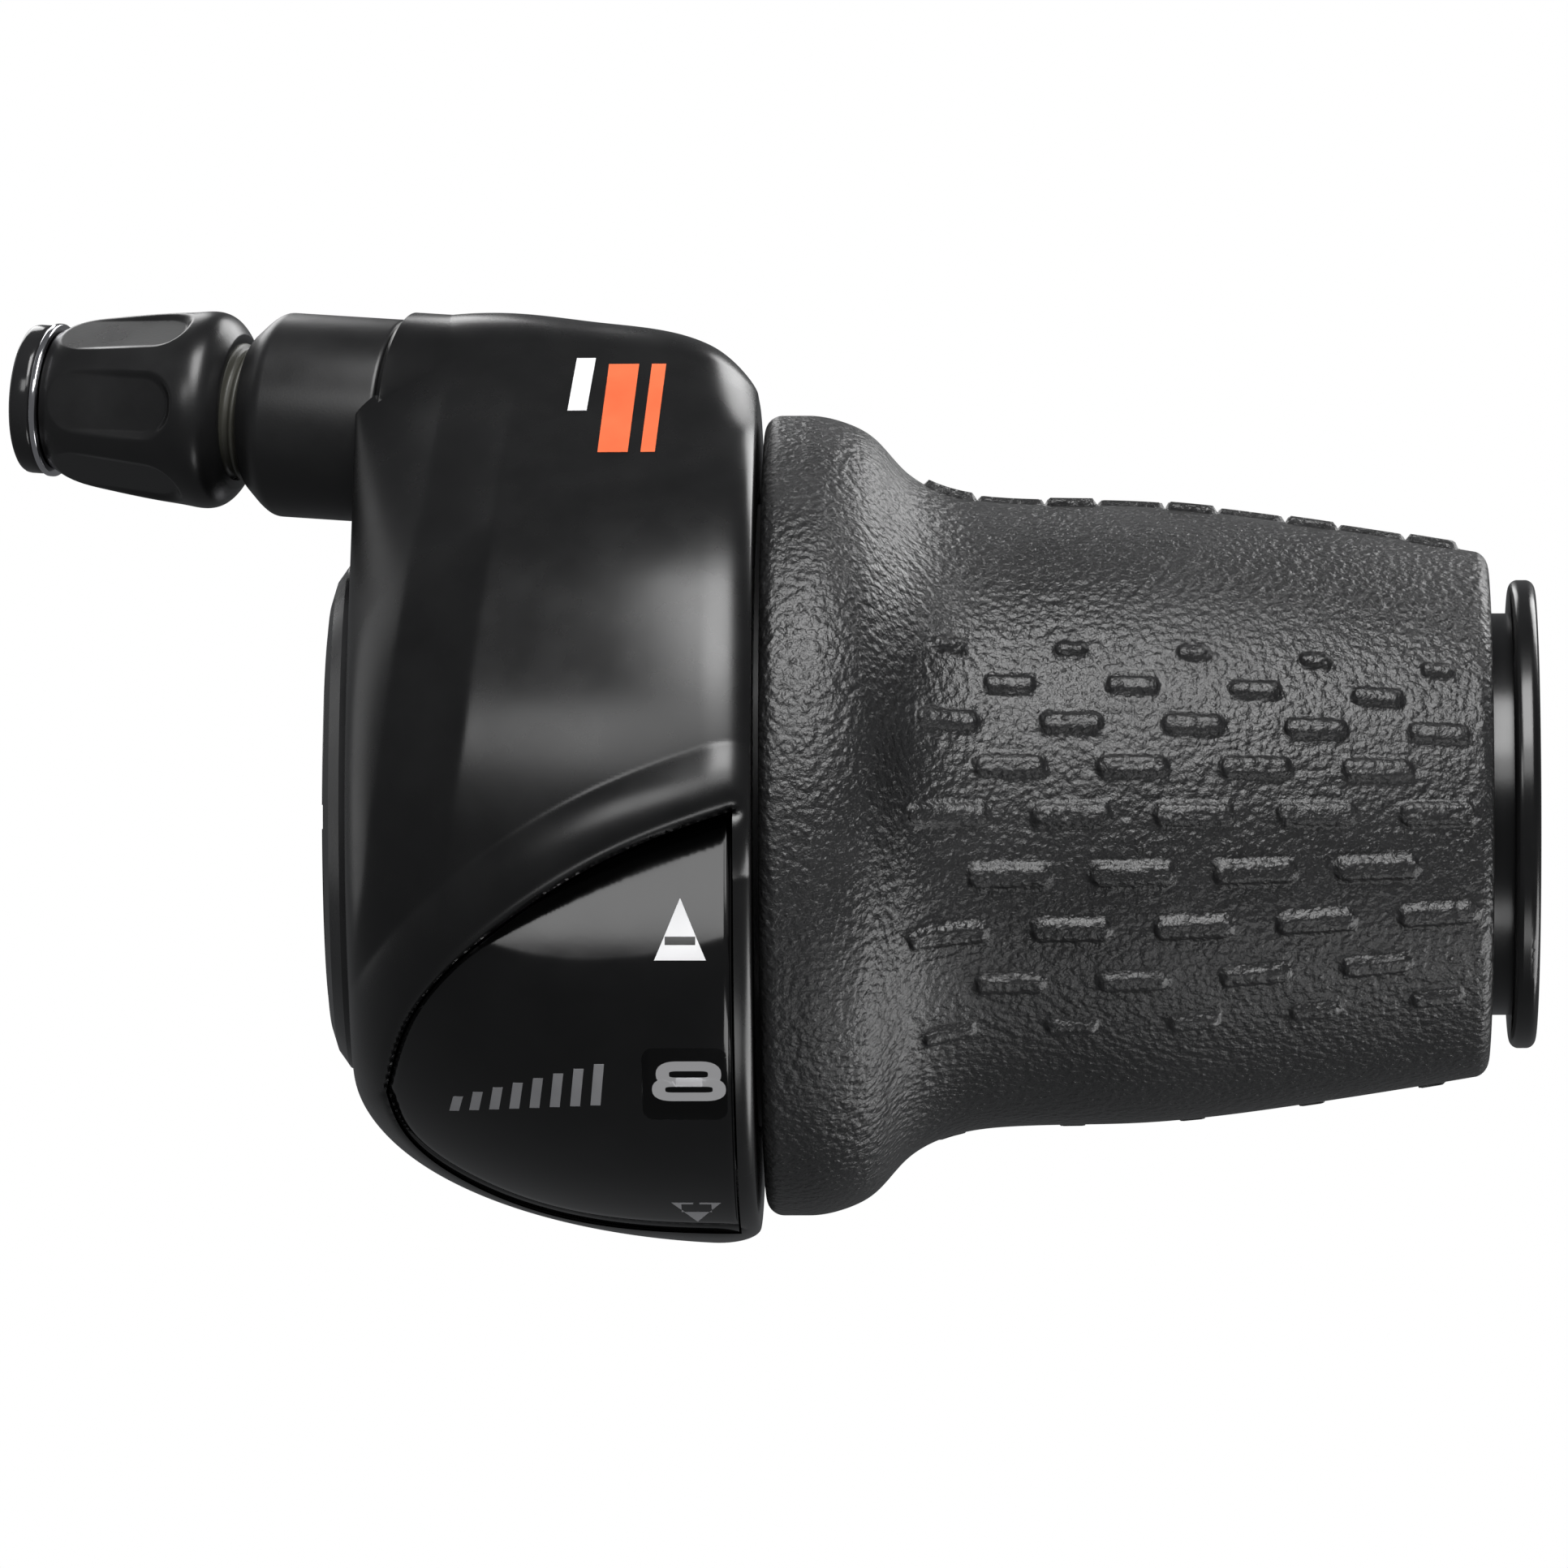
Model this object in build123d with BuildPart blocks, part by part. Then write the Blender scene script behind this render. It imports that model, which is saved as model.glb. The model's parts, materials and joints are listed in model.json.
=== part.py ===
from build123d import *
from math import acos, atan2, cos, degrees, hypot, radians, sin, sqrt
import os

# Twist-grip gear shifter for the right-hand end of a 22.2 mm bicycle handlebar.
# All sizes are millimetres. The origin lies on the handlebar axis at the clamp's inboard face.
# +X runs outboard along the bar, +Z is up, and -Y faces the rider, who reads the gear window.

# Handlebar sleeve
BORE_R = 11.15
SLEEVE_R = 12.7
SLEEVE_END = 75.6
SPIGOT_START = 72.0
SPIGOT_R = 11.9
RUNNING_GAP = 0.06
FIT_GAP = 0.03
FLANGE_R = 14.8
FLANGE_X = 74.4
TOTAL_LENGTH = 76.05

# Clamp at the inboard end
COLLAR_R = 16.4
COLLAR_END = 6.8
SLIT_WIDTH = 1.5
LUG_Y = 19.3
LUG_OUT = 23.2
LUG_HALF = 5.3
CLAMP_X = 3.6
CLAMP_BOLT_R = 2.0

# Housing: a dome of revolution with a hump for the cable on top
HOUSING_START = 1.55
HOUSING_END = 27.1
DOME_BASE_R = 16.0
DOME_RISE = 11.1
WALL = 2.0
END_WALL = 0.8
CAVITY_START = 3.4
END_OPENING_R = 20.4
SPLIT_Y = 6.0
SPLIT_GAP = 0.1
# Radius of the hump's crown at stations along X
CROWN = [(1.55, 5.6), (2.0, 5.7), (3.0, 5.85), (4.5, 6.1), (7.5, 7.0), (12.0, 7.35),
         (17.0, 7.1), (21.5, 6.6), (24.5, 5.9), (27.1, 4.1)]

# Cable exit: its axis leans back and rises a little towards the stem
CABLE_POINT = Vector(0.9, 4.0, 25.3)
CABLE_LEAN = 15.0
CABLE_RISE = 4.0
CABLE_DIR = Vector(-cos(radians(CABLE_LEAN)) * cos(radians(CABLE_RISE)),
                   sin(radians(CABLE_LEAN)) * cos(radians(CABLE_RISE)),
                   sin(radians(CABLE_RISE)))
CABLE_AXIS = Axis(CABLE_POINT, CABLE_DIR)
# Section plane through the cable axis: local x is the distance out along the axis
CABLE_PLANE = Plane(origin=CABLE_POINT, x_dir=CABLE_DIR, z_dir=CABLE_DIR.cross(Vector(0, 0, 1)))
BOSS_R = 6.5
BOSS_SEAM = -3.74
BOSS_SPIGOT_R = 5.6
BOSS_INNER_END = -9.0
BOSS_CHAMFER_START = 4.7
BOSS_END = 6.1
BOSS_NOSE_R = 4.95
COLLAR_RING_R = 7.0
BOLT_R = 4.4
BARREL_START = 7.3
BARREL_END = 19.4
BARREL_R = 6.25
SEAT_END = 21.4
SEAT_R = 4.75
SEAT_HUB_R = 3.6
CASING_R = 2.6
CABLE_HOLE_R = 1.1

# Window in the cover's front
PANEL_SINK = 0.3
PANEL_THICK = 1.5
PANEL_GAP = 0.15
LENS_LOW = -18.8
LENS_HIGH = -14.3
LENS_LEFT = 20.2
LENS_RIGHT = 25.5

# Indexing and cable drum
GEARS = 8
CLICK = 15.0
DRUM_START = 10.4
DRUM_END = 24.4
DRUM_R = 16.0
DRUM_FLANGE_R = 18.5
GROOVE_X = 15.6
DETENT_X = (10.5, 13.1)
DETENT_HUB_R = 15.0
NOTCH_R = 1.9
ROLLER_R = 1.6
ROLLER_ANGLE = -120.0
SPRING_R = 22.05
SPRING_THICK = 0.4
INDEX_R = 22.4
INDEX_WALL = 1.2
INDEX_START = 19.5
INDEX_END = 26.0
WEB_START = 24.6

# Grip
GRIP_START = 27.5
GRIP_END = 73.1
GRIP_FACE_R = 25.3
DOG_COUNT = 3


def spin(points, axis=Axis.X, plane=Plane.XY, mode=Mode.ADD):
    """Turn a closed outline of (distance along the axis, radius) points about the axis."""
    with BuildSketch(plane) as section:
        with BuildLine():
            Polyline(*points, close=True)
        make_face()
    return revolve(section.sketch, axis=axis, mode=mode)


def tube(start, end, inner, outer, axis=Axis.X, plane=Plane.XY, mode=Mode.ADD):
    """Turn a plain ring between two distances along the axis."""
    return spin([(start, inner), (end, inner), (end, outer), (start, outer)], axis, plane, mode)


def on_cable_axis(distance):
    """The point at a distance out along the cable axis."""
    return CABLE_POINT + CABLE_DIR * distance


def at_radius(x, radius, angle):
    """The point at a radius and angle about the handlebar axis, counted from +Y towards +Z."""
    return Vector(x, radius * cos(radians(angle)), radius * sin(radians(angle)))


def dome_radius(x):
    """Radius of the housing's dome: a quarter ellipse from its inboard rim to its outboard face."""
    back = (HOUSING_END - x) / (HOUSING_END - HOUSING_START)
    return DOME_BASE_R + DOME_RISE * sqrt(max(0.0, 1 - back * back))


def hull_section(x, crown_r, inset):
    """The housing's section at x: the dome's circle and the hump's crown, joined by tangents."""
    centre = on_cable_axis((CABLE_POINT.X - x) / -CABLE_DIR.X)
    main_r = dome_radius(x) - inset
    small_r = crown_r - inset
    distance = hypot(centre.Y, centre.Z)
    lean = atan2(centre.Z, centre.Y)
    spread = acos((main_r - small_r) / distance)
    rear, front = lean - spread, lean + spread
    with BuildSketch(Plane.YZ.offset(x)) as section:
        with BuildLine():
            big = CenterArc((0, 0), main_r, degrees(front), 360 - degrees(front - rear))
            small = CenterArc((centre.Y, centre.Z), small_r, degrees(rear), degrees(front - rear))
            Line(big @ 1, small @ 0)
            Line(small @ 1, big @ 0)
        make_face()
    return section.sketch


def housing_solid(first_x, last_x, inset):
    """The housing's outer shape, or its cavity when inset, between two stations."""
    inner = [(x, crown) for x, crown in CROWN if first_x < x < last_x]
    first = (first_x, crown_at(first_x))
    last = (last_x, crown_at(last_x))
    return loft([hull_section(x, crown, inset) for x, crown in [first, *inner, last]],
                mode=Mode.PRIVATE)


def crown_at(x):
    """The crown's radius at x, between the stations on each side."""
    for (x_a, crown_a), (x_b, crown_b) in zip(CROWN, CROWN[1:]):
        if x <= x_b:
            return crown_a + (crown_b - crown_a) * (x - x_a) / (x_b - x_a)
    return CROWN[-1][1]


def shell(outer, cavity, keep_front):
    """One half of the hollow housing, on the rider's side of the split or behind it."""
    with BuildPart() as half:
        add(outer)
        # collar ring that meets the cable boss
        tube(BOSS_SEAM - 5.0, BOSS_SEAM, BOSS_SPIGOT_R - 2, COLLAR_RING_R, CABLE_AXIS, CABLE_PLANE)
        add(cavity, mode=Mode.SUBTRACT)
        # web round the boss's spigot
        tube(BOSS_INNER_END + 1.0, BOSS_SEAM, BOSS_SPIGOT_R - 2, COLLAR_RING_R - 0.2, CABLE_AXIS,
             CABLE_PLANE)
        # clamp opening, outboard opening, and the socket of the cable boss
        tube(0, CAVITY_START + 0.5, 0, COLLAR_R + 0.2, mode=Mode.SUBTRACT)
        tube(HOUSING_END - END_WALL - 0.5, HOUSING_END + 1, 0, END_OPENING_R, mode=Mode.SUBTRACT)
        tube(BOSS_INNER_END - 2, BOSS_SEAM, 0, BOSS_SPIGOT_R + 0.04, CABLE_AXIS, CABLE_PLANE,
             Mode.SUBTRACT)
        tube(BOSS_SEAM, BOSS_END, 0, BOSS_R + 0.05, CABLE_AXIS, CABLE_PLANE, Mode.SUBTRACT)
        side = -1 if keep_front else 1
        with BuildSketch(Plane.XY.offset(-40)):
            with Locations((15, SPLIT_Y + side * (SPLIT_GAP / 2 + 30))):
                Rectangle(60, 60)
        extrude(amount=80, mode=Mode.INTERSECT)
    return half.part


os.makedirs("parts", exist_ok=True)

# ---------------------------------------------------------------- bracket and sleeve
PLATE_X = (7.6, 9.6)
PLATE_R = 21.0
COLLET_DEPTH = 5.5
CLIP_X = 69.7
CLIP_THICK = 1.0

with BuildPart() as bracket:
    spin([(0, BORE_R), (SLEEVE_END, BORE_R), (SLEEVE_END, SPIGOT_R), (SPIGOT_START, SPIGOT_R),
          (SPIGOT_START, SLEEVE_R), (PLATE_X[1], SLEEVE_R), (PLATE_X[1], PLATE_R),
          (PLATE_X[0], PLATE_R), (PLATE_X[0], SLEEVE_R), (0, SLEEVE_R)])
    # groove for the retaining clip
    tube(CLIP_X - 0.05, CLIP_X + CLIP_THICK + 0.05, SPIGOT_R + 0.2, SLEEVE_R + 1, mode=Mode.SUBTRACT)
    # collet slits under the clamp
    with BuildSketch(Plane.YZ):
        with PolarLocations(SLEEVE_R, 4, start_angle=0):
            Rectangle(6, SLIT_WIDTH)
    extrude(amount=COLLET_DEPTH, mode=Mode.SUBTRACT)
    # posts that hold the detent spring's ends
    with BuildSketch(Plane.YZ.offset(PLATE_X[1])):
        with PolarLocations(PLATE_R - 0.6, 2, start_angle=ROLLER_ANGLE - 24, angular_range=48,
                            endpoint=True):
            Circle(0.8)
    extrude(amount=DETENT_X[1] - PLATE_X[1])
    # notch that the cable boss passes through
    tube(BOSS_INNER_END - 3, BOSS_END, 0, COLLAR_RING_R + 0.3, CABLE_AXIS, CABLE_PLANE,
         Mode.SUBTRACT)
bracket.part.label = "bracket"
export_step(bracket.part, "parts/bracket.step")

# ---------------------------------------------------------------- clamp
with BuildPart() as clamp_collar:
    spin([(0.1, SLEEVE_R + 0.02), (COLLAR_END, SLEEVE_R + 0.02), (COLLAR_END, COLLAR_R),
          (2.2, COLLAR_R), (1.2, 15.9), (0.5, 14.9), (0.1, 13.6)])
    with BuildSketch(Plane.XY.offset(-LUG_HALF)):
        with Locations(((0.5 + COLLAR_END) / 2, (COLLAR_R - 2 + LUG_OUT) / 2)):
            RectangleRounded(COLLAR_END - 0.5, LUG_OUT - COLLAR_R + 2, 1.2)
    extrude(amount=2 * LUG_HALF)
    with Locations((CLAMP_X, 20, 0)):
        Box(20, 20, SLIT_WIDTH, mode=Mode.SUBTRACT)
    with BuildSketch(Plane.XY.offset(-20)):
        with Locations((CLAMP_X, LUG_Y)):
            Circle(CLAMP_BOLT_R + 0.15)
    extrude(amount=40, mode=Mode.SUBTRACT)
clamp_collar.part.label = "clamp_collar"
export_step(clamp_collar.part, "parts/clamp_collar.step")

WASHER_THICK = 0.5
NUT_THICK = 3.0
HEAD_R = 3.3
HEAD_TALL = 3.2
with BuildPart() as clamp_washer:
    with BuildSketch(Plane.XY.offset(-LUG_HALF - WASHER_THICK)):
        with Locations((CLAMP_X, LUG_Y)):
            Circle(3.6)
            Circle(CLAMP_BOLT_R + 0.15, mode=Mode.SUBTRACT)
    extrude(amount=WASHER_THICK)
clamp_washer.part.label = "clamp_washer"
export_step(clamp_washer.part, "parts/clamp_washer.step")

HEAD_BASE = -LUG_HALF - WASHER_THICK
with BuildPart() as clamp_bolt:
    with BuildSketch(Plane.XY.offset(HEAD_BASE)):
        with Locations((CLAMP_X, LUG_Y)):
            Circle(CLAMP_BOLT_R)
    extrude(amount=LUG_HALF - HEAD_BASE + NUT_THICK + 0.6)
    with BuildSketch(Plane.XY.offset(HEAD_BASE)):
        with Locations((CLAMP_X, LUG_Y)):
            Circle(HEAD_R)
    extrude(amount=-HEAD_TALL)
    chamfer(clamp_bolt.edges().group_by(Axis.Z)[0], 0.3)
    chamfer(clamp_bolt.edges().group_by(Axis.Z)[-1], 0.4)
    with BuildSketch(Plane.XY.offset(HEAD_BASE - HEAD_TALL)):
        with Locations((CLAMP_X, LUG_Y)):
            RegularPolygon(1.73, 6)
    extrude(amount=2.0, mode=Mode.SUBTRACT)
clamp_bolt.part.label = "clamp_bolt"
export_step(clamp_bolt.part, "parts/clamp_bolt.step")

with BuildPart() as clamp_nut:
    with BuildSketch(Plane.XY.offset(LUG_HALF)):
        with Locations((CLAMP_X, LUG_Y)):
            RegularPolygon(3.5, 6, major_radius=False)
            Circle(CLAMP_BOLT_R + 0.02, mode=Mode.SUBTRACT)
    extrude(amount=NUT_THICK)
clamp_nut.part.label = "clamp_nut"
export_step(clamp_nut.part, "parts/clamp_nut.step")

# ---------------------------------------------------------------- covers
outer_form = housing_solid(HOUSING_START, HOUSING_END, 0)
cavity_form = housing_solid(CAVITY_START, HOUSING_END - END_WALL, WALL)
front_half = shell(outer_form, cavity_form, True)
rear_half = shell(outer_form, cavity_form, False)

# outline of the window, seen from the rider: a rising leaf whose tip is low and inboard
# each entry is a point (x, z) and the inward direction that a smaller outline moves it along
LEAF_UPPER = [((26.0, 0.4), (-1, -1)), ((19.5, -2.0), (0.3, -1)), ((11.0, -7.1), (0.5, -0.9)),
              ((5.3, -13.2), (0.8, -0.6)), ((3.9, -17.2), (1, 0))]
LEAF_LOWER = [((3.9, -17.2), (1, 0)), ((4.6, -19.4), (0.9, 0.4)), ((8.4, -22.9), (0.5, 0.9)),
              ((14.0, -25.2), (0.2, 1)), ((26.0, -26.3), (-1, 1))]


def leaf(inset):
    """The window's leaf outline, drawn in by an inset."""
    upper = [(x + u * inset, z + w * inset) for (x, z), (u, w) in LEAF_UPPER]
    lower = [(x + u * inset, z + w * inset) for (x, z), (u, w) in LEAF_LOWER]
    with BuildSketch(Plane.XZ.offset(1)) as outline:
        with BuildLine():
            top = Spline(*upper)
            bottom = Spline(*lower)
            Line(bottom @ 1, top @ 0)
        make_face()
    return outline


window_outline = leaf(0)
panel_outline = leaf(PANEL_GAP)
with BuildSketch(Plane.XZ.offset(1)) as lens_outline:
    with Locations(((LENS_LEFT + LENS_RIGHT) / 2, (LENS_LOW + LENS_HIGH) / 2)):
        RectangleRounded(LENS_RIGHT - LENS_LEFT, LENS_HIGH - LENS_LOW, 0.8)
with BuildPart() as window_prism:
    extrude(window_outline.sketch, amount=40)

# screws that draw the two covers together, and the posts they turn into
SCREW_PLACES = [(17.0, 22.5), (12.2, -20.9)]
SCREW_R = 1.1
POST_R = 2.0
POST_RIB = 1.5
POST_DEPTH = 3.4
REAR_POST_R = 2.3
SCREW_HEAD_R = 1.9
SCREW_SEAT_Y = 10.5
FORWARD = Plane(origin=(0, 0, 0), x_dir=(-1, 0, 0), z_dir=(0, 1, 0))


def post_outline(radius):
    """Round screw posts, each with a rib that runs out to the housing's wall."""
    for x, z in SCREW_PLACES:
        with Locations((-x, z)):
            Circle(radius)
        with Locations((-x, z * 1.2)):
            Rectangle(2 * POST_RIB, abs(z) * 0.4)


with BuildPart() as front_posts:
    with BuildSketch(FORWARD.offset(SPLIT_Y - SPLIT_GAP / 2 - POST_DEPTH)):
        post_outline(POST_R)
    extrude(amount=POST_DEPTH)
    add(outer_form, mode=Mode.INTERSECT)

with BuildPart() as rear_posts:
    with BuildSketch(FORWARD.offset(SPLIT_Y + SPLIT_GAP / 2)):
        post_outline(REAR_POST_R)
    extrude(amount=12)
    add(outer_form, mode=Mode.INTERSECT)

with BuildPart() as front_cover:
    add(front_half)
    add(front_posts.part)
    with BuildSketch(FORWARD.offset(SPLIT_Y)):
        with Locations(*[(-x, z) for x, z in SCREW_PLACES]):
            Circle(SCREW_R + 0.02)
    extrude(amount=-POST_DEPTH - 1, mode=Mode.SUBTRACT)
    add(window_prism.part, mode=Mode.SUBTRACT)
front_cover.part.label = "front_cover"
export_step(front_cover.part, "parts/front_cover.step")

with BuildPart() as rear_cover:
    add(rear_half)
    add(rear_posts.part)
    with BuildSketch(FORWARD.offset(SPLIT_Y - 1)):
        with Locations(*[(-x, z) for x, z in SCREW_PLACES]):
            Circle(SCREW_R + 0.1)
    extrude(amount=14, mode=Mode.SUBTRACT)
    with BuildSketch(FORWARD.offset(SCREW_SEAT_Y)):
        with Locations(*[(-x, z) for x, z in SCREW_PLACES]):
            Circle(SCREW_HEAD_R + 0.15)
    extrude(amount=14, mode=Mode.SUBTRACT)
    # pocket that gives a key room at the clamp lugs
    with Locations((PLATE_X[0] / 2 - 0.1, 22, 0)):
        Box(PLATE_X[0] - 0.2, 20, 24, mode=Mode.SUBTRACT)
rear_cover.part.label = "rear_cover"
export_step(rear_cover.part, "parts/rear_cover.step")

with BuildPart() as cover_screws:
    with BuildSketch(FORWARD.offset(SPLIT_Y - 3.0)):
        with Locations(*[(-x, z) for x, z in SCREW_PLACES]):
            Circle(SCREW_R)
    extrude(amount=SCREW_SEAT_Y - SPLIT_Y + 3.0)
    with BuildSketch(FORWARD.offset(SCREW_SEAT_Y)):
        with Locations(*[(-x, z) for x, z in SCREW_PLACES]):
            Circle(SCREW_HEAD_R)
    extrude(amount=1.5)
    # cross recess
    with BuildSketch(FORWARD.offset(SCREW_SEAT_Y + 1.5)):
        with Locations(*[(-x, z) for x, z in SCREW_PLACES]):
            Rectangle(2.2, 0.5)
            Rectangle(0.5, 2.2)
    extrude(amount=-0.9, mode=Mode.SUBTRACT)
cover_screws.part.label = "cover_screws"
export_step(cover_screws.part, "parts/cover_screws.step")

# ---------------------------------------------------------------- window
with BuildPart() as panel_skin:
    add(housing_solid(2.2, HOUSING_END - 0.6, PANEL_SINK))
    add(housing_solid(3.2, HOUSING_END, PANEL_SINK + PANEL_THICK), mode=Mode.SUBTRACT)
    with BuildSketch(Plane.XY.offset(-40)):
        with Locations((15, -31)):
            Rectangle(60, 60)
    extrude(amount=80, mode=Mode.INTERSECT)

with BuildSketch(Plane.XZ.offset(1)) as framed_outline:
    add(panel_outline.sketch_local)
    add(lens_outline.sketch_local, mode=Mode.SUBTRACT)
with BuildPart() as window_panel:
    add(panel_skin.part)
    extrude(framed_outline.sketch, amount=40, mode=Mode.INTERSECT)
window_panel.part.label = "window_panel"
export_step(window_panel.part, "parts/window_panel.step")

with BuildPart() as window_lens:
    add(panel_skin.part)
    extrude(lens_outline.sketch, amount=40, mode=Mode.INTERSECT)
window_lens.part.label = "window_lens"
export_step(window_lens.part, "parts/window_lens.step")

# ---------------------------------------------------------------- cable exit
BOSS_BORE_R = BOLT_R + 0.05
GUIDE_R = 1.8
BOSS_BORE_END = -7.0
with BuildPart() as cable_boss:
    spin([(BOSS_INNER_END, GUIDE_R + FIT_GAP), (BOSS_BORE_END, GUIDE_R + FIT_GAP),
          (BOSS_BORE_END, BOSS_BORE_R), (BOSS_END, BOSS_BORE_R), (BOSS_END, BOSS_NOSE_R),
          (BOSS_CHAMFER_START, BOSS_R), (BOSS_SEAM + 0.12, BOSS_R),
          (BOSS_SEAM + 0.12, BOSS_SPIGOT_R), (BOSS_INNER_END, BOSS_SPIGOT_R)],
         CABLE_AXIS, CABLE_PLANE)
cable_boss.part.label = "cable_boss"
export_step(cable_boss.part, "parts/cable_boss.step")

# the cable leaves the drum on a tangent, then bends over towards the stem
bend = on_cable_axis((CABLE_POINT.X - GROOVE_X) / -CABLE_DIR.X)
tangent_angle = degrees(atan2(bend.Z, bend.Y) + acos(DRUM_R / hypot(bend.Y, bend.Z)))
tangent_point = at_radius(GROOVE_X, DRUM_R, tangent_angle)
GUIDE_BEND_R = 6.0
GUIDE_BORE_R = 0.9
guide_foot = bend + (tangent_point - bend) * 0.28
with BuildPart() as cable_guide:
    with BuildLine() as guide_route:
        FilletPolyline(on_cable_axis(BOSS_BORE_END - 0.1), bend, guide_foot, radius=GUIDE_BEND_R)
    with BuildSketch(Plane(origin=on_cable_axis(BOSS_BORE_END - 0.1), z_dir=-CABLE_DIR)):
        Circle(GUIDE_R)
        Circle(GUIDE_BORE_R, mode=Mode.SUBTRACT)
    sweep()
cable_guide.part.label = "cable_guide"
export_step(cable_guide.part, "parts/cable_guide.step")

# ---------------------------------------------------------------- adjuster
with BuildPart() as adjuster_bolt:
    tube(BOSS_BORE_END + 1.5, BARREL_START + 5.0, CABLE_HOLE_R, BOLT_R, CABLE_AXIS, CABLE_PLANE)
adjuster_bolt.part.label = "adjuster_bolt"
export_step(adjuster_bolt.part, "parts/adjuster_bolt.step")

FLAT_COUNT = 6
FLAT_START = 9.2
FLAT_R = 5.45
FLAT_TILT = 7.0
with BuildPart() as adjuster_barrel:
    spin([(BARREL_START, BOLT_R), (BARREL_START + 5.0, BOLT_R),
          (BARREL_START + 5.0, SEAT_HUB_R + RUNNING_GAP), (BARREL_END, SEAT_HUB_R + RUNNING_GAP),
          (BARREL_END, 4.55), (18.6, 4.8), (16.0, 5.5), (12.0, 6.05), (9.2, BARREL_R),
          (8.3, BARREL_R), (BARREL_START, 5.0)], CABLE_AXIS, CABLE_PLANE)
    # long flats that run out to the end, with a round start
    for turn in range(FLAT_COUNT):
        angle = 360.0 / FLAT_COUNT * (turn + 0.5)
        outward = CABLE_PLANE.y_dir.rotate(Axis((0, 0, 0), CABLE_DIR), angle)
        across = CABLE_DIR.cross(outward)
        start = on_cable_axis(FLAT_START) + outward * FLAT_R
        along = CABLE_DIR.rotate(Axis((0, 0, 0), across), -FLAT_TILT)
        with BuildSketch(Plane(origin=start, x_dir=along, z_dir=across.cross(along))):
            with Locations((8, 0)):
                RectangleRounded(16, 4.4, 2.1)
        extrude(amount=4, mode=Mode.SUBTRACT)
adjuster_barrel.part.label = "adjuster_barrel"
export_step(adjuster_barrel.part, "parts/adjuster_barrel.step")

RING_END = 19.95
with BuildPart() as seat_ring:
    tube(BARREL_END + 0.1, RING_END, SEAT_HUB_R, SEAT_R + 0.15, CABLE_AXIS, CABLE_PLANE)
seat_ring.part.label = "seat_ring"
export_step(seat_ring.part, "parts/seat_ring.step")

CASING_DEPTH = 7.5
SEAT_START = BARREL_START + 5.1
with BuildPart() as casing_seat:
    spin([(SEAT_START, CABLE_HOLE_R), (SEAT_END - CASING_DEPTH, CABLE_HOLE_R),
          (SEAT_END - CASING_DEPTH, CASING_R), (SEAT_END, CASING_R), (SEAT_END, SEAT_R - 0.6),
          (SEAT_END - 0.25, SEAT_R - 0.15), (SEAT_END - 0.7, SEAT_R), (RING_END, SEAT_R),
          (RING_END, SEAT_HUB_R), (SEAT_START, SEAT_HUB_R)], CABLE_AXIS, CABLE_PLANE)
casing_seat.part.label = "casing_seat"
export_step(casing_seat.part, "parts/casing_seat.step")

# ---------------------------------------------------------------- indexing, fixed side
ROLLER_LIFT = 0.2
roller_centre = at_radius(DETENT_X[0], DRUM_FLANGE_R + ROLLER_R + ROLLER_LIFT, ROLLER_ANGLE)
with BuildPart() as detent_roller:
    with BuildSketch(Plane.YZ.offset(DETENT_X[0] + 0.1)):
        with Locations((roller_centre.Y, roller_centre.Z)):
            Circle(ROLLER_R)
    extrude(amount=DETENT_X[1] - DETENT_X[0] - 0.2)
detent_roller.part.label = "detent_roller"
export_step(detent_roller.part, "parts/detent_roller.step")

SPRING_SPAN = 60.0
with BuildPart() as detent_spring:
    with BuildSketch(Plane.YZ.offset(DETENT_X[0] + 0.2)):
        with BuildLine():
            inner = CenterArc((0, 0), SPRING_R, ROLLER_ANGLE - SPRING_SPAN / 2, SPRING_SPAN)
            outer = CenterArc((0, 0), SPRING_R + SPRING_THICK, ROLLER_ANGLE - SPRING_SPAN / 2,
                              SPRING_SPAN)
            Line(inner @ 0, outer @ 0)
            Line(inner @ 1, outer @ 1)
        make_face()
    extrude(amount=DETENT_X[1] - DETENT_X[0] - 0.4)
detent_spring.part.label = "detent_spring"
export_step(detent_spring.part, "parts/detent_spring.step")

with BuildPart() as thrust_washer:
    tube(PLATE_X[1] + 0.05, DRUM_START - 0.1, SLEEVE_R + 0.04, DETENT_HUB_R)
thrust_washer.part.label = "thrust_washer"
export_step(thrust_washer.part, "parts/thrust_washer.step")

# ---------------------------------------------------------------- indexing, turning side
CORE_BORE_R = SLEEVE_R + RUNNING_GAP
DOG_IN = 14.6
DOG_OUT = 17.3
DOG_ARC = 40.0
DOG_START = 21.4
HUB_OUT = 17.5


def dog_arcs(x, length, clearance, mode):
    """Sector blocks, evenly spaced round the bar, that carry the grip's turn to the drum."""
    half = DOG_ARC / 2 + clearance * 4
    with BuildSketch(Plane.YZ.offset(x)) as blocks:
        for turn in range(DOG_COUNT):
            middle = 360.0 / DOG_COUNT * turn + 30
            with BuildLine():
                low = CenterArc((0, 0), DOG_IN - clearance, middle - half, 2 * half)
                high = CenterArc((0, 0), DOG_OUT + clearance, middle - half, 2 * half)
                Line(low @ 0, high @ 0)
                Line(low @ 1, high @ 1)
            make_face()
    return extrude(blocks.sketch, amount=length, mode=mode)


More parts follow.
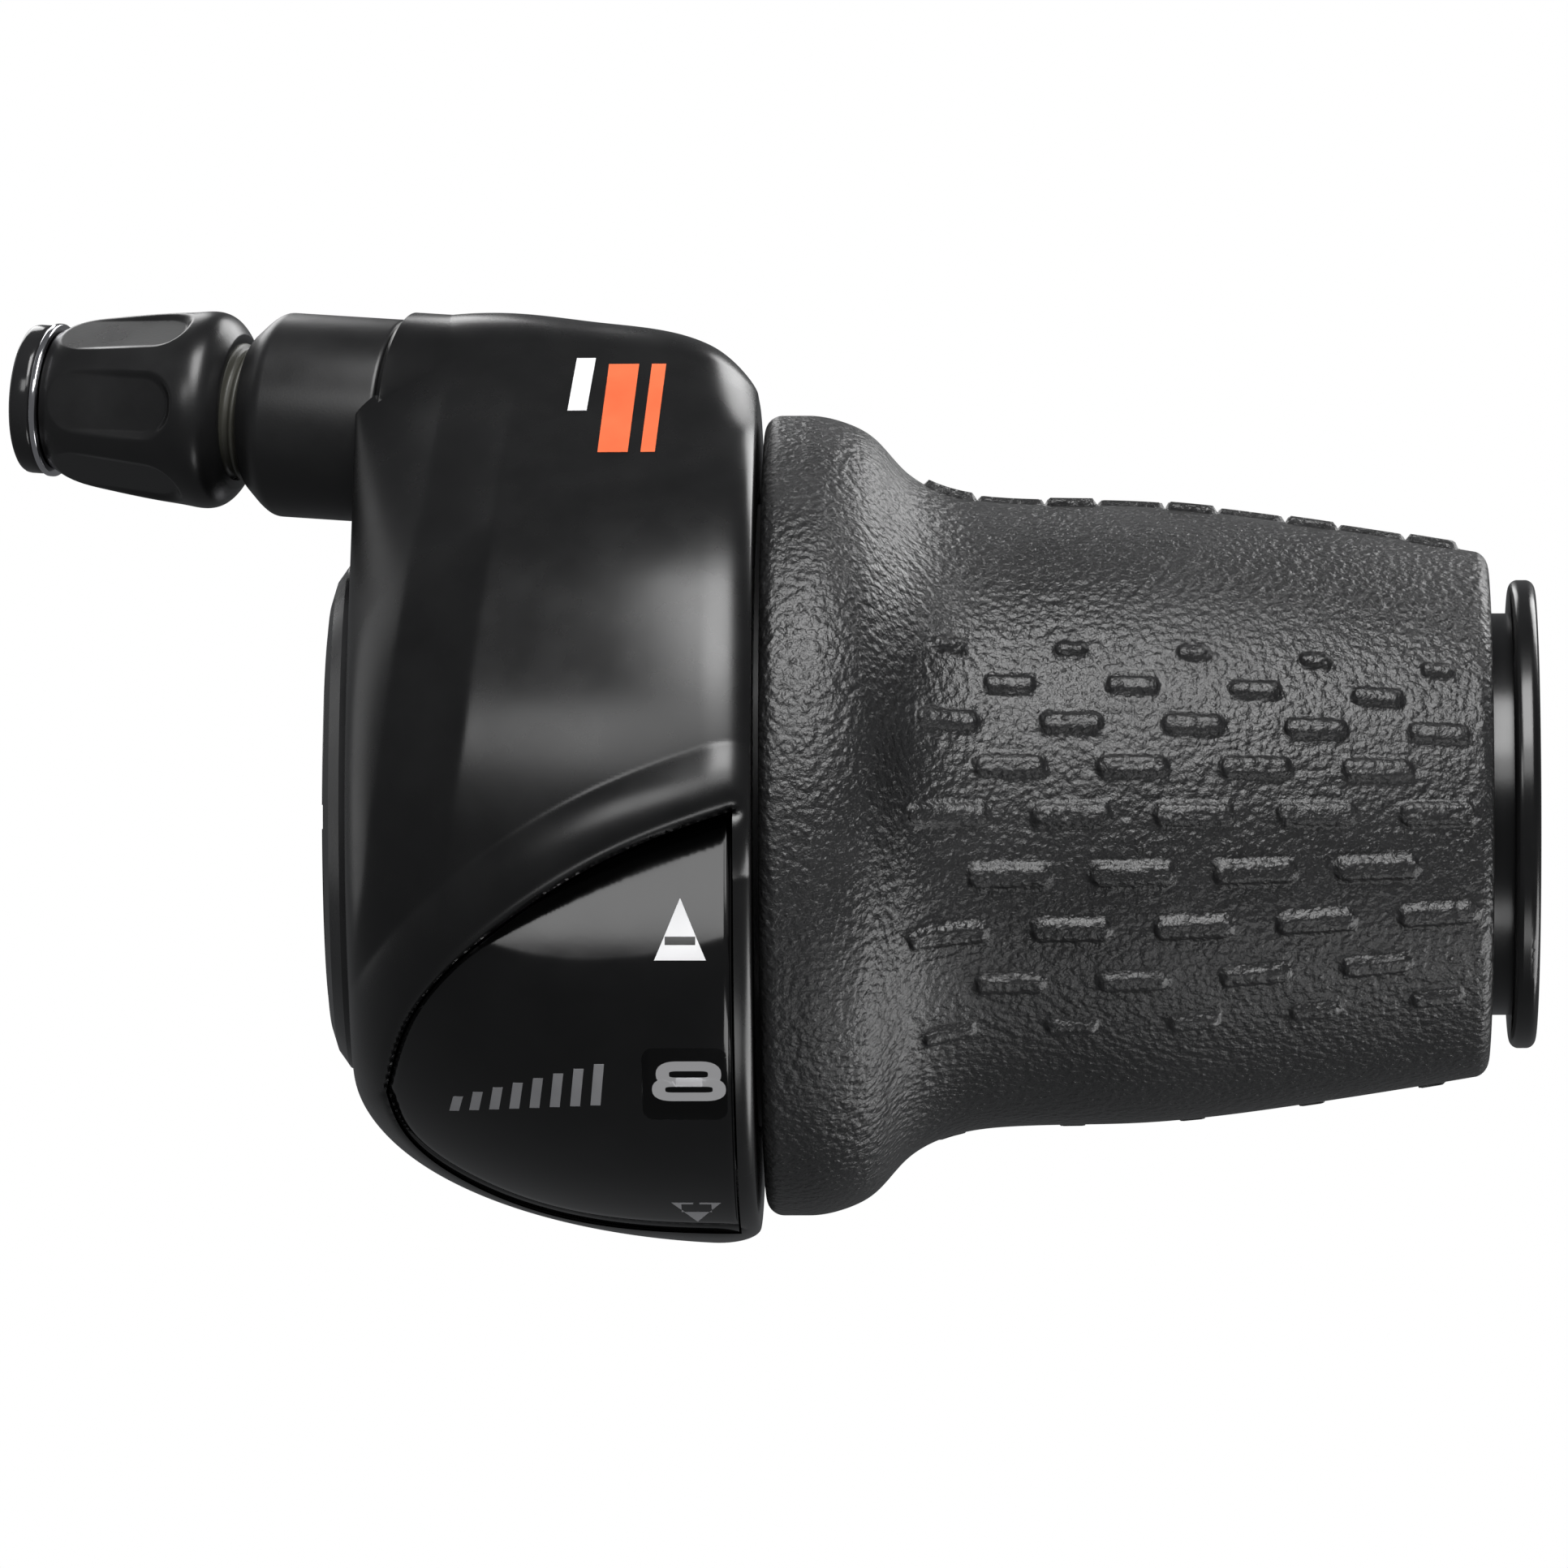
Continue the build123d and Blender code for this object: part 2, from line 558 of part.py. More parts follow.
with BuildPart() as cable_drum:
    spin([(DRUM_START, CORE_BORE_R), (DRUM_END, CORE_BORE_R), (DRUM_END, HUB_OUT),
          (18.1, HUB_OUT), (18.1, DRUM_FLANGE_R), (17.0, DRUM_FLANGE_R), (16.4, DRUM_R - 0.5),
          (GROOVE_X, DRUM_R - 0.8), (14.8, DRUM_R - 0.5), (14.2, DRUM_FLANGE_R),
          (DETENT_X[1] + 0.05, DRUM_FLANGE_R), (DETENT_X[1] + 0.05, DETENT_HUB_R),
          (DRUM_START, DETENT_HUB_R)])
    dog_arcs(DOG_START - 0.1, DRUM_END - DOG_START + 0.2, 0.2, Mode.SUBTRACT)
    # pocket for the cable's nipple, reached through the flange
    with BuildSketch(Plane.YZ.offset(18.2)):
        with Locations((DRUM_R * cos(radians(200)), DRUM_R * sin(radians(200)))):
            Circle(2.0)
    extrude(amount=-3.4, mode=Mode.SUBTRACT)
cable_drum.part.label = "cable_drum"
export_step(cable_drum.part, "parts/cable_drum.step")

NOTCH_DEPTH = 0.9
with BuildPart() as detent_ring:
    with BuildSketch(Plane.YZ.offset(DETENT_X[0])):
        Circle(DRUM_FLANGE_R)
        Circle(DETENT_HUB_R + FIT_GAP, mode=Mode.SUBTRACT)
        with PolarLocations(DRUM_FLANGE_R + NOTCH_R - NOTCH_DEPTH, GEARS, start_angle=ROLLER_ANGLE,
                            angular_range=CLICK * (GEARS - 1), endpoint=True):
            Circle(NOTCH_R, mode=Mode.SUBTRACT)
    extrude(amount=DETENT_X[1] - DETENT_X[0])
detent_ring.part.label = "detent_ring"
export_step(detent_ring.part, "parts/detent_ring.step")

with BuildPart() as index_ring:
    spin([(INDEX_START, INDEX_R - INDEX_WALL), (WEB_START, INDEX_R - INDEX_WALL),
          (WEB_START, CORE_BORE_R), (INDEX_END, CORE_BORE_R), (INDEX_END, INDEX_R),
          (INDEX_START, INDEX_R)])
    dog_arcs(WEB_START - 0.5, INDEX_END - WEB_START + 1, 0.2, Mode.SUBTRACT)
index_ring.part.label = "index_ring"
export_step(index_ring.part, "parts/index_ring.step")

# ---------------------------------------------------------------- grip
CORE_START = 26.2
CORE_END = 72.2
CORE_NECK_R = 19.7
CORE_FACE_R = 22.6
SHOULDER_X = 69.0
COUNTERBORE_R = 14.2
CORE_POINTS = [(GRIP_START, CORE_FACE_R), (31.0, CORE_FACE_R), (33.2, 21.9), (35.8, 19.4),
               (38.6, 17.9), (43.0, 17.3), (51.0, 17.0), (60.0, 16.1), (66.0, 15.4),
               (CORE_END, 15.3)]
with BuildPart() as grip_core:
    with BuildSketch(Plane.XY) as core_section:
        with BuildLine():
            top = Spline(*CORE_POINTS[1:-1], tangents=[(1, 0), (1, -0.08)])
            Polyline(top @ 1, CORE_POINTS[-1], (CORE_END, COUNTERBORE_R),
                     (SHOULDER_X, COUNTERBORE_R), (SHOULDER_X, CORE_BORE_R),
                     (CORE_START, CORE_BORE_R), (CORE_START, CORE_NECK_R),
                     (GRIP_START, CORE_NECK_R), CORE_POINTS[0], top @ 0)
        make_face()
    revolve(axis=Axis.X)
    dog_arcs(DOG_START, CORE_START - DOG_START + 0.5, 0, Mode.ADD)
grip_core.part.label = "grip_core"
export_step(grip_core.part, "parts/grip_core.step")

# the grip's outline: a bell against the housing that draws in to a slowly tapering handle
GRIP_POINTS = [(30.2, GRIP_FACE_R), (32.4, 24.9), (34.2, 24.0), (36.3, 21.8), (39.4, 20.2),
               (43.0, 19.7), (50.7, 19.5), (60.9, 18.4), (72.0, 16.65)]
GRIP_CORNER = 1.1
with BuildPart() as grip_rubber:
    with BuildSketch(Plane.XY):
        with BuildLine():
            skin = Spline(*GRIP_POINTS, tangents=[(1, 0), (1, -0.17)])
            tip = RadiusArc(skin @ 1, (GRIP_END, 15.5), -GRIP_CORNER - 0.1)
            face = RadiusArc((GRIP_START, GRIP_FACE_R - GRIP_CORNER),
                             (GRIP_START + GRIP_CORNER, GRIP_FACE_R), -GRIP_CORNER)
            Line(face @ 1, skin @ 0)
            under = Spline(*CORE_POINTS[1:-1], tangents=[(1, 0), (1, -0.08)])
            Polyline(tip @ 1, (GRIP_END, COUNTERBORE_R + 0.1), (CORE_END, COUNTERBORE_R + 0.1),
                     CORE_POINTS[-1], under @ 1)
            Polyline(under @ 0, CORE_POINTS[0], face @ 0)
        make_face()
    revolve(axis=Axis.X)
grip_rubber.part.label = "grip_rubber"
export_step(grip_rubber.part, "parts/grip_rubber.step")

# ---------------------------------------------------------------- outboard end
with BuildPart() as retaining_washer:
    tube(SHOULDER_X + 0.05, CLIP_X - 0.05, SLEEVE_R + 0.04, COUNTERBORE_R - 0.3)
retaining_washer.part.label = "retaining_washer"
export_step(retaining_washer.part, "parts/retaining_washer.step")

CLIP_GAP = 60.0
with BuildPart() as retaining_clip:
    with BuildSketch(Plane.YZ.offset(CLIP_X)):
        with BuildLine():
            low = CenterArc((0, 0), SPIGOT_R + 0.22, 90 + CLIP_GAP / 2, 360 - CLIP_GAP)
            high = CenterArc((0, 0), COUNTERBORE_R - 0.3, 90 + CLIP_GAP / 2, 360 - CLIP_GAP)
            Line(low @ 0, high @ 0)
            Line(low @ 1, high @ 1)
        make_face()
    extrude(amount=CLIP_THICK)
retaining_clip.part.label = "retaining_clip"
export_step(retaining_clip.part, "parts/retaining_clip.step")

with BuildPart() as end_flange:
    spin([(SPIGOT_START + 0.02, SPIGOT_R + 0.01), (SLEEVE_END + 0.02, SPIGOT_R + 0.01),
          (SLEEVE_END + 0.02, BORE_R + 0.1), (TOTAL_LENGTH, BORE_R + 0.1),
          (TOTAL_LENGTH, FLANGE_R), (FLANGE_X, FLANGE_R), (FLANGE_X, SLEEVE_R),
          (SPIGOT_START + 0.02, SLEEVE_R)])
    rim = end_flange.edges().filter_by(GeomType.CIRCLE).filter_by(lambda e: e.radius > FLANGE_R - 0.1)
    fillet(rim, 0.6)
end_flange.part.label = "end_flange"
export_step(end_flange.part, "parts/end_flange.step")
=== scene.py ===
import json
import math

import bpy
import numpy as np
from mathutils import Matrix, Vector
from mathutils.bvhtree import BVHTree


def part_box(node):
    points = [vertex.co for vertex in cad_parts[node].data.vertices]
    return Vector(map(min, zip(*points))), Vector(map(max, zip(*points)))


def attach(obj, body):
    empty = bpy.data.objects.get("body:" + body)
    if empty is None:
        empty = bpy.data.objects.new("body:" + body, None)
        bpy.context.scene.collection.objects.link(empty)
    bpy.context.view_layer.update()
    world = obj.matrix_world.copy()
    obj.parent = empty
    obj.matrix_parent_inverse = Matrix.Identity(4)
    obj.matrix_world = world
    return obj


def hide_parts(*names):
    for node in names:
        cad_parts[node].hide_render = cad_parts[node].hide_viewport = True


# Looks of the twist-grip shifter. The shape helpers work in millimetres in the CAD frame
# (+X outboard along the bar, +Z up, -Y towards the rider), and make_piece() turns them into metres.

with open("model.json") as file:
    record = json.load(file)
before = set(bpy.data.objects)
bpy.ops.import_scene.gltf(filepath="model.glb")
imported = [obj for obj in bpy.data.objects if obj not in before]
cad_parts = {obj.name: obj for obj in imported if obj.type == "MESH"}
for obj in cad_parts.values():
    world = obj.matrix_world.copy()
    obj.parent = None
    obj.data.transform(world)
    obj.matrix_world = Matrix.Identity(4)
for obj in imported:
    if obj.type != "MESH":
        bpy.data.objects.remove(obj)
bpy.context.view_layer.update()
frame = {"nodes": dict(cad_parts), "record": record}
record = frame["record"]
MM = 0.001


def box_mm(node):
    """Lowest and highest corners of a CAD node, in millimetres."""
    low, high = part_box(node)
    return np.array(low) / MM, np.array(high) / MM


# ---------------------------------------------------------------- sizes taken from the frame
socket = next(m for m in record["mounts"] if m["name"] == "casing_socket")
CABLE_DIR = np.array(socket["axis"])
CABLE_END = np.array(socket["pos_m"]) / MM
SEAT_END = 21.4
CABLE_POINT = CABLE_END - CABLE_DIR * SEAT_END

cover_low, cover_high = box_mm("front_cover")
HOUSING_START = cover_low[0]
HOUSING_END = cover_high[0]
DOME_R = -cover_low[2]
DOME_BASE_R = 16.0
CROWN = [(1.55, 5.6), (7.5, 7.0), (12.0, 7.35), (17.0, 7.1), (24.5, 5.9), (27.1, 4.1)]
WALL = 2.0
END_WALL = 0.8
BASE_WALL_X = 3.9
END_OPENING_R = 20.4
CLAMP_OPENING_R = 16.6
SPLIT_Y = 6.0
SPLIT_GAP = 0.1

BOSS_SEAM = -3.74
BOSS_R = 6.5
BOSS_SPIGOT_R = 5.6
COLLAR_RING_R = 7.0
BOLT_R = 4.4
BOLT_BORE_R = 1.1
BOLT_START = -5.5
BOLT_END = 12.3
SEAT_STEM_R = 3.6
CASING_R = 2.6
CASING_DEPTH = 7.5
BARREL_START = 7.3
BARREL_END = 19.4
FAR = 50.0

GRIP_START = box_mm("grip_rubber")[0][0]
INDEX_R = box_mm("index_ring")[1][2]
LENS_LOW, LENS_HIGH = box_mm("window_lens")


# ---------------------------------------------------------------- curves and shape maths
def smoothstep(low, high, value):
    t = np.clip((value - low) / (high - low), 0, 1)
    return t * t * (3 - 2 * t)


def spline(points, count, first=None, last=None):
    """An even sampling of the smooth curve through points, with optional end directions."""
    p = np.array(points, float)
    h = np.linalg.norm(np.diff(p, axis=0), axis=1)
    n = len(p)
    lhs = np.zeros((n, n))
    rhs = np.zeros(p.shape)
    lhs[0, 0], lhs[-1, -1] = 2, 2
    lhs[0, 1], lhs[-1, -2] = 1, 1
    rhs[0] = 3 * (p[1] - p[0]) / h[0]
    rhs[-1] = 3 * (p[-1] - p[-2]) / h[-1]
    for row, end in ((0, first), (-1, last)):
        if end is not None:
            lhs[row] = 0
            lhs[row, row] = 1
            rhs[row] = np.array(end, float) / np.linalg.norm(end)
    for i in range(1, n - 1):
        lhs[i, i - 1:i + 2] = h[i], 2 * (h[i - 1] + h[i]), h[i - 1]
        rhs[i] = 3 * (h[i] * (p[i] - p[i - 1]) / h[i - 1] + h[i - 1] * (p[i + 1] - p[i]) / h[i])
    slope = np.linalg.solve(lhs, rhs)
    t = np.linspace(0, 1, 40)[:, None]
    a, b = 2 * t**3 - 3 * t**2 + 1, t**3 - 2 * t**2 + t
    c, d = -2 * t**3 + 3 * t**2, t**3 - t**2
    fine = np.vstack([a * p[i] + b * h[i] * slope[i] + c * p[i + 1] + d * h[i] * slope[i + 1]
                      for i in range(n - 1)])
    return resample(fine, count)


def resample(path, count):
    """The same path with count points at even spacing."""
    along = np.concatenate([[0], np.cumsum(np.linalg.norm(np.diff(path, axis=0), axis=1))])
    at = np.linspace(0, along[-1], count)
    return np.stack([np.interp(at, along, path[:, k]) for k in range(path.shape[1])], axis=1)


def rounded(points, radius, steps=5):
    """A closed outline with each corner rounded by at most radius."""
    p = np.array(points, float)
    out = []
    for i, corner in enumerate(p):
        back, ahead = p[i - 1] - corner, p[(i + 1) % len(p)] - corner
        lb, la = np.linalg.norm(back), np.linalg.norm(ahead)
        reach = min(radius, 0.45 * lb, 0.45 * la)
        start, end = corner + back / lb * reach, corner + ahead / la * reach
        for t in np.linspace(0, 1, steps):
            out.append((1 - t) ** 2 * start + 2 * t * (1 - t) * corner + t * t * end)
    return np.array(out)


def quarter_round(distance, width):
    """1 at an edge, falling along a quarter circle to 0 at width from it."""
    inward = np.clip(1 - distance / width, 0, 1)
    return 1 - np.sqrt(1 - inward**2)


def distance_to(path, x, z):
    """Shortest distance from each point (x, z) to a polyline."""
    best = np.full(np.broadcast(x, z).shape, 1e9)
    for (xa, za), (xb, zb) in zip(path, path[1:]):
        ux, uz = xb - xa, zb - za
        t = np.clip(((x - xa) * ux + (z - za) * uz) / (ux * ux + uz * uz), 0, 1)
        best = np.minimum(best, np.hypot(x - xa - t * ux, z - za - t * uz))
    return best


def crown_centre(x):
    """Y and Z of the cable axis at x."""
    s = (x - CABLE_POINT[0]) / CABLE_DIR[0]
    return CABLE_POINT[1] + CABLE_DIR[1] * s, CABLE_POINT[2] + CABLE_DIR[2] * s


crown_line = spline(CROWN, 200)


def hull_radius(x, angle, inset):
    """Distance from the bar's axis to the housing: a dome, and a hump over the cable axis."""
    back = np.clip((HOUSING_END - x) / (HOUSING_END - HOUSING_START), 0, 1)
    big = DOME_BASE_R + (DOME_R - DOME_BASE_R) * np.sqrt(1 - back**2) - inset
    small = np.interp(x, crown_line[:, 0], crown_line[:, 1]) - inset
    cy, cz = crown_centre(x)
    far = np.hypot(cy, cz)
    spread = np.arccos((big - small) / far)
    touch = np.arctan2(small * np.sin(spread), far + small * np.cos(spread))
    off = np.abs((angle - np.arctan2(cz, cy) + np.pi) % (2 * np.pi) - np.pi)
    flat = big / np.cos(np.minimum(np.abs(spread - off), 1.2))
    cap = far * np.cos(off) + np.sqrt(np.maximum(0, small**2 - (far * np.sin(off)) ** 2))
    return np.where(off >= spread, big, np.where(off >= touch, flat, cap))


# ---------------------------------------------------------------- meshes
def make_piece(name, points, faces):
    """A mesh object from points in millimetres, with its faces turned outwards."""
    points = np.asarray(points, float).reshape(-1, 3)
    faces = [tuple(int(k) for k in f) for f in faces]
    tri = np.array([(f[0], f[i], f[i + 1]) for f in faces for i in range(1, len(f) - 1)])
    a, b, c = (points[tri[:, k]] for k in range(3))
    if np.einsum("ij,ij->i", a, np.cross(b, c)).sum() < 0:
        faces = [f[::-1] for f in faces]
    mesh = bpy.data.meshes.new(name)
    mesh.from_pydata((points * MM).tolist(), [], faces)
    mesh.validate()
    piece = bpy.data.objects.new(name, mesh)
    bpy.context.scene.collection.objects.link(piece)
    return piece


def grid_faces(rows, columns, close_rows, close_columns, offset=0):
    i = np.arange(rows if close_rows else rows - 1)
    j = np.arange(columns if close_columns else columns - 1)
    i, j = (k.ravel() for k in np.meshgrid(i, j, indexing="ij"))
    i2, j2 = (i + 1) % rows, (j + 1) % columns
    return np.stack([i * columns + j, i * columns + j2, i2 * columns + j2, i2 * columns + j],
                    axis=1) + offset


def ring_piece(name, grid):
    """A closed ring-shaped piece from a grid that closes on itself both ways."""
    rows, columns = grid.shape[:2]
    return make_piece(name, grid, grid_faces(rows, columns, True, True))


def slab_piece(name, slabs):
    """A closed piece from pairs of grids, its top and bottom, joined round their edges."""
    points, faces = [], []
    for top, bottom, looped in slabs:
        rows, columns = top.shape[:2]
        start = sum(len(p) for p in points)
        under = start + rows * columns
        points += [top.reshape(-1, 3), bottom.reshape(-1, 3)]
        faces += grid_faces(rows, columns, looped, False, start).tolist()
        faces += grid_faces(rows, columns, looped, False, under)[:, ::-1].tolist()
        last = rows if looped else rows - 1
        for column, flip in ((0, 1), (columns - 1, -1)):
            for i in range(last):
                k, k2 = i * columns + column, (i + 1) % rows * columns + column
                faces.append((start + k2, under + k2, under + k, start + k)[::flip])
        for row, flip in () if looped else ((0, -1), (rows - 1, 1)):
            for j in range(columns - 1):
                k = row * columns + j
                faces.append((start + k + 1, under + k + 1, under + k, start + k)[::flip])
    return make_piece(name, np.vstack(points), faces)


def along_bar(x, radius, angle):
    """Points about the bar's axis, the angle counted from +Y towards +Z."""
    x, radius, angle = np.broadcast_arrays(x, radius, angle)
    return np.stack([x, radius * np.cos(angle), radius * np.sin(angle)], axis=-1)


CABLE_SIDE = np.cross(CABLE_DIR, (0, 0, 1))
CABLE_SIDE /= np.linalg.norm(CABLE_SIDE)
CABLE_UP = np.cross(CABLE_SIDE, CABLE_DIR)


def along_cable(s, radius, angle):
    """Points about the cable axis at a distance s out along it."""
    s, radius, angle = (k[..., None] for k in np.broadcast_arrays(s, radius, angle))
    return (CABLE_POINT + CABLE_DIR * s
            + radius * (np.cos(angle) * CABLE_SIDE + np.sin(angle) * CABLE_UP))


def turned(name, outline, place, segments=160, corner=0.0):
    """A ring turned from a closed outline of (distance, radius) points."""
    line = rounded(outline, corner) if corner else np.array(outline, float)
    angle = np.linspace(0, 2 * np.pi, segments, endpoint=False)[None, :]
    return ring_piece(name, place(line[:, 0:1], line[:, 1:2], angle))


def plug(name, start, end, radius, place, segments=96):
    """A plain closed cylinder, a tool for cuts."""
    angle = np.linspace(0, 2 * np.pi, segments, endpoint=False)
    points = np.vstack([place(np.full(segments, float(s)), radius, angle) for s in (start, end)])
    faces = [(j, (j + 1) % segments, segments + (j + 1) % segments, segments + j)
             for j in range(segments)]
    faces += [tuple(range(segments))[::-1], tuple(range(segments, 2 * segments))]
    return make_piece(name, points, faces)


def prism(outline, low, high):
    """A closed prism along Y over an outline of (x, z) points, a tool for cuts."""
    n = len(outline)
    points = [(x, y, z) for y in (low, high) for x, z in outline]
    faces = [(j, (j + 1) % n, n + (j + 1) % n, n + j) for j in range(n)]
    faces += [tuple(range(n))[::-1], tuple(range(n, 2 * n))]
    return make_piece("tool", points, faces)


def block(low, high):
    """A closed box between two corners, a tool for cuts."""
    (xa, ya, za), (xb, yb, zb) = low, high
    return prism([(xa, za), (xb, za), (xb, zb), (xa, zb)], ya, yb)


def combine(piece, tool, operation):
    """Joins, cuts or crops a piece with a tool, and removes the tool."""
    step = piece.modifiers.new("step", "BOOLEAN")
    step.object = tool
    step.operation = operation
    step.solver = "MANIFOLD"
    graph = bpy.context.evaluated_depsgraph_get()
    mesh = bpy.data.meshes.new_from_object(piece.evaluated_get(graph))
    piece.modifiers.clear()
    piece.data = mesh
    bpy.data.objects.remove(tool)


def copy_of(piece, name):
    other = bpy.data.objects.new(name, piece.data.copy())
    bpy.context.scene.collection.objects.link(other)
    return other


def finish_piece(piece, material, body, nodes=(), sharp=32):
    """Shading, material, body and the CAD nodes that the piece stands for."""
    mesh = piece.data
    mesh.materials.clear()
    mesh.materials.append(material)
    mesh.shade_smooth()
    mesh.set_sharp_from_angle(angle=math.radians(sharp))
    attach(piece, body)
    if nodes:
        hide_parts(*nodes)
    return piece


# ---------------------------------------------------------------- materials
CLOUD_SPAN = (0.3, 0.7)
CELL_RISE = 1.6


def moulded(name, dark, light, rough, grain, depth, cloud=250.0, cells=None, **sockets):
    """A procedural finish: cloudy colour and roughness, and a fine surface grain.

    dark and light are the two colours, rough the two roughnesses, grain the grain's size in
    millimetres and depth its height. cloud is the scale of the clouds, in 1/m, and cells adds
    rounded leather cells of that size in millimetres. Other sockets are set by their names.
    """
    material = bpy.data.materials.new(name)
    material.use_nodes = True
    nodes, links = material.node_tree.nodes, material.node_tree.links
    shader = nodes["Principled BSDF"]
    place = nodes.new("ShaderNodeTexCoord").outputs["Object"]

    def texture(kind, scale):
        node = nodes.new(kind)
        node.inputs["Scale"].default_value = scale
        links.new(place, node.inputs["Vector"])
        return node

    clouds = texture("ShaderNodeTexNoise", cloud)
    clouds.inputs["Detail"].default_value = 6
    colours = nodes.new("ShaderNodeValToRGB")
    for stop, position, colour in zip(colours.color_ramp.elements, CLOUD_SPAN, (dark, light)):
        stop.position = position
        stop.color = (*colour, 1)
    links.new(clouds.outputs["Fac"], colours.inputs["Fac"])
    links.new(colours.outputs["Color"], shader.inputs["Base Color"])
    shine = nodes.new("ShaderNodeMapRange")
    shine.inputs["From Min"].default_value, shine.inputs["From Max"].default_value = CLOUD_SPAN
    shine.inputs["To Min"].default_value = rough[0]
    shine.inputs["To Max"].default_value = rough[1]
    links.new(clouds.outputs["Fac"], shine.inputs["Value"])
    links.new(shine.outputs["Result"], shader.inputs["Roughness"])
    fine = texture("ShaderNodeTexNoise", 1 / (grain * MM))
    fine.inputs["Detail"].default_value = 3
    bump = nodes.new("ShaderNodeBump")
    bump.inputs["Strength"].default_value = 1
    bump.inputs["Distance"].default_value = depth * MM
    links.new(fine.outputs["Fac"], bump.inputs["Height"])
    if cells:
        leather = texture("ShaderNodeTexVoronoi", 1 / (cells * MM))
        leather.feature = "SMOOTH_F1"
        second = nodes.new("ShaderNodeBump")
        second.invert = True
        second.inputs["Strength"].default_value = 1
        second.inputs["Distance"].default_value = depth * CELL_RISE * MM
        links.new(leather.outputs["Distance"], second.inputs["Height"])
        links.new(bump.outputs["Normal"], second.inputs["Normal"])
        bump = second
    links.new(bump.outputs["Normal"], shader.inputs["Normal"])
    for socket_name, value in sockets.items():
        shader.inputs[socket_name.replace("_", " ")].default_value = value
    return material


def grey(value):
    return (value, value, value * 1.04)


COVER = moulded("cover_gloss", grey(0.0045), grey(0.0065), (0.24, 0.30), 0.25, 0.0012)
WINDOW = moulded("window_gloss", grey(0.003), grey(0.005), (0.10, 0.14), 0.4, 0.0006)
LENS = moulded("window_clear", grey(0.003), grey(0.005), (0.10, 0.14), 0.5, 0.0004, Alpha=0.5)
BOSS = moulded("boss_satin", grey(0.007), grey(0.011), (0.33, 0.42), 0.16, 0.004)
BARREL = moulded("barrel_satin", grey(0.007), grey(0.011), (0.27, 0.36), 0.2, 0.004)
BOLT = moulded("bolt_plastic", (0.030, 0.030, 0.024), (0.045, 0.044, 0.036), (0.4, 0.5), 0.2, 0.004)
RUBBER = moulded("grip_rubber", grey(0.007), grey(0.013), (0.33, 0.42), 0.21, 0.085,
                 cloud=120.0, cells=0.46, Specular_IOR_Level=0.7)
SLEEVE = moulded("sleeve_plastic", grey(0.004), grey(0.006), (0.20, 0.27), 0.25, 0.0015)
CLAMP = moulded("clamp_paint", grey(0.012), grey(0.018), (0.22, 0.32), 0.3, 0.004)
SEAT = moulded("seat_gloss", grey(0.012), grey(0.018), (0.12, 0.20), 0.3, 0.0015)
BRIGHT = moulded("bright_ring", grey(0.62), grey(0.74), (0.10, 0.20), 0.3, 0.001, Metallic=1.0)
STEEL = moulded("steel", grey(0.36), grey(0.48), (0.26, 0.40), 0.15, 0.003, Metallic=1.0)
GUIDE = moulded("guide_plastic", (0.55, 0.54, 0.50), (0.64, 0.63, 0.59), (0.4, 0.5), 0.2, 0.003)
DRUM = moulded("drum_plastic", grey(0.09), grey(0.12), (0.4, 0.5), 0.2, 0.003)
CORE = moulded("core_plastic", grey(0.020), grey(0.028), (0.4, 0.5), 0.2, 0.004)
RING = moulded("ring_black", grey(0.003), grey(0.005), (0.65, 0.8), 0.2, 0.003,
               Specular_IOR_Level=0.1)
WHITE = moulded("print_white", (0.80, 0.80, 0.81), (0.88, 0.88, 0.89), (0.38, 0.5), 0.15, 0.002)
# the gear numbers are white print with a painted glow: an emission that stands in for the light reaching
# them through the dark lens
NUMBER_PAINTED_GLOW = moulded("print_number_painted_glow", (0.70, 0.70, 0.71), (0.80, 0.80, 0.81), (0.38, 0.5), 0.15, 0.002,
                 Emission_Color=(0.9, 0.9, 0.92, 1), Emission_Strength=1.1)
SILVER = moulded("print_silver", grey(0.26), grey(0.34), (0.35, 0.48), 0.15, 0.002)
ORANGE = moulded("print_orange", (0.74, 0.13, 0.045), (0.86, 0.17, 0.06), (0.36, 0.48), 0.15, 0.002)

KEPT_NODES = {
    "bracket": SLEEVE, "end_flange": SLEEVE, "clamp_collar": CLAMP, "clamp_bolt": STEEL,
    "clamp_washer": STEEL, "clamp_nut": STEEL, "cover_screws": STEEL, "cable_guide": GUIDE,
    "detent_roller": STEEL, "detent_spring": STEEL, "detent_ring": STEEL, "thrust_washer": GUIDE,
    "retaining_washer": GUIDE, "retaining_clip": STEEL, "cable_drum": DRUM, "index_ring": RING,
    "grip_core": CORE,
}
for node_name, finish in KEPT_NODES.items():
    node_mesh = frame["nodes"][node_name].data
    node_mesh.materials.clear()
    node_mesh.materials.append(finish)


# ---------------------------------------------------------------- window outline
def leaf(inset):
    """The window's outline in (x, z): a rising leaf whose tip is low and inboard."""
    upper = spline([(26.0 - inset, 0.4 - inset), (19.5 + 0.3 * inset, -2.0 - inset),
                    (11.0 + 0.5 * inset, -7.1 - 0.9 * inset),
                    (5.3 + 0.8 * inset, -13.2 - 0.6 * inset), (3.9 + inset, -17.2)], 90)
    lower = spline([(3.9 + inset, -17.2), (4.6 + 0.9 * inset, -19.4 + 0.4 * inset),
                    (8.4 + 0.5 * inset, -22.9 + 0.9 * inset),
                    (14.0 + 0.2 * inset, -25.2 + inset), (26.0 - inset, -26.3 + inset)], 70)
    return upper, lower


def closed_outline(upper, lower):
    return np.vstack([upper, lower[1:]])


leaf_upper, leaf_lower = leaf(0)


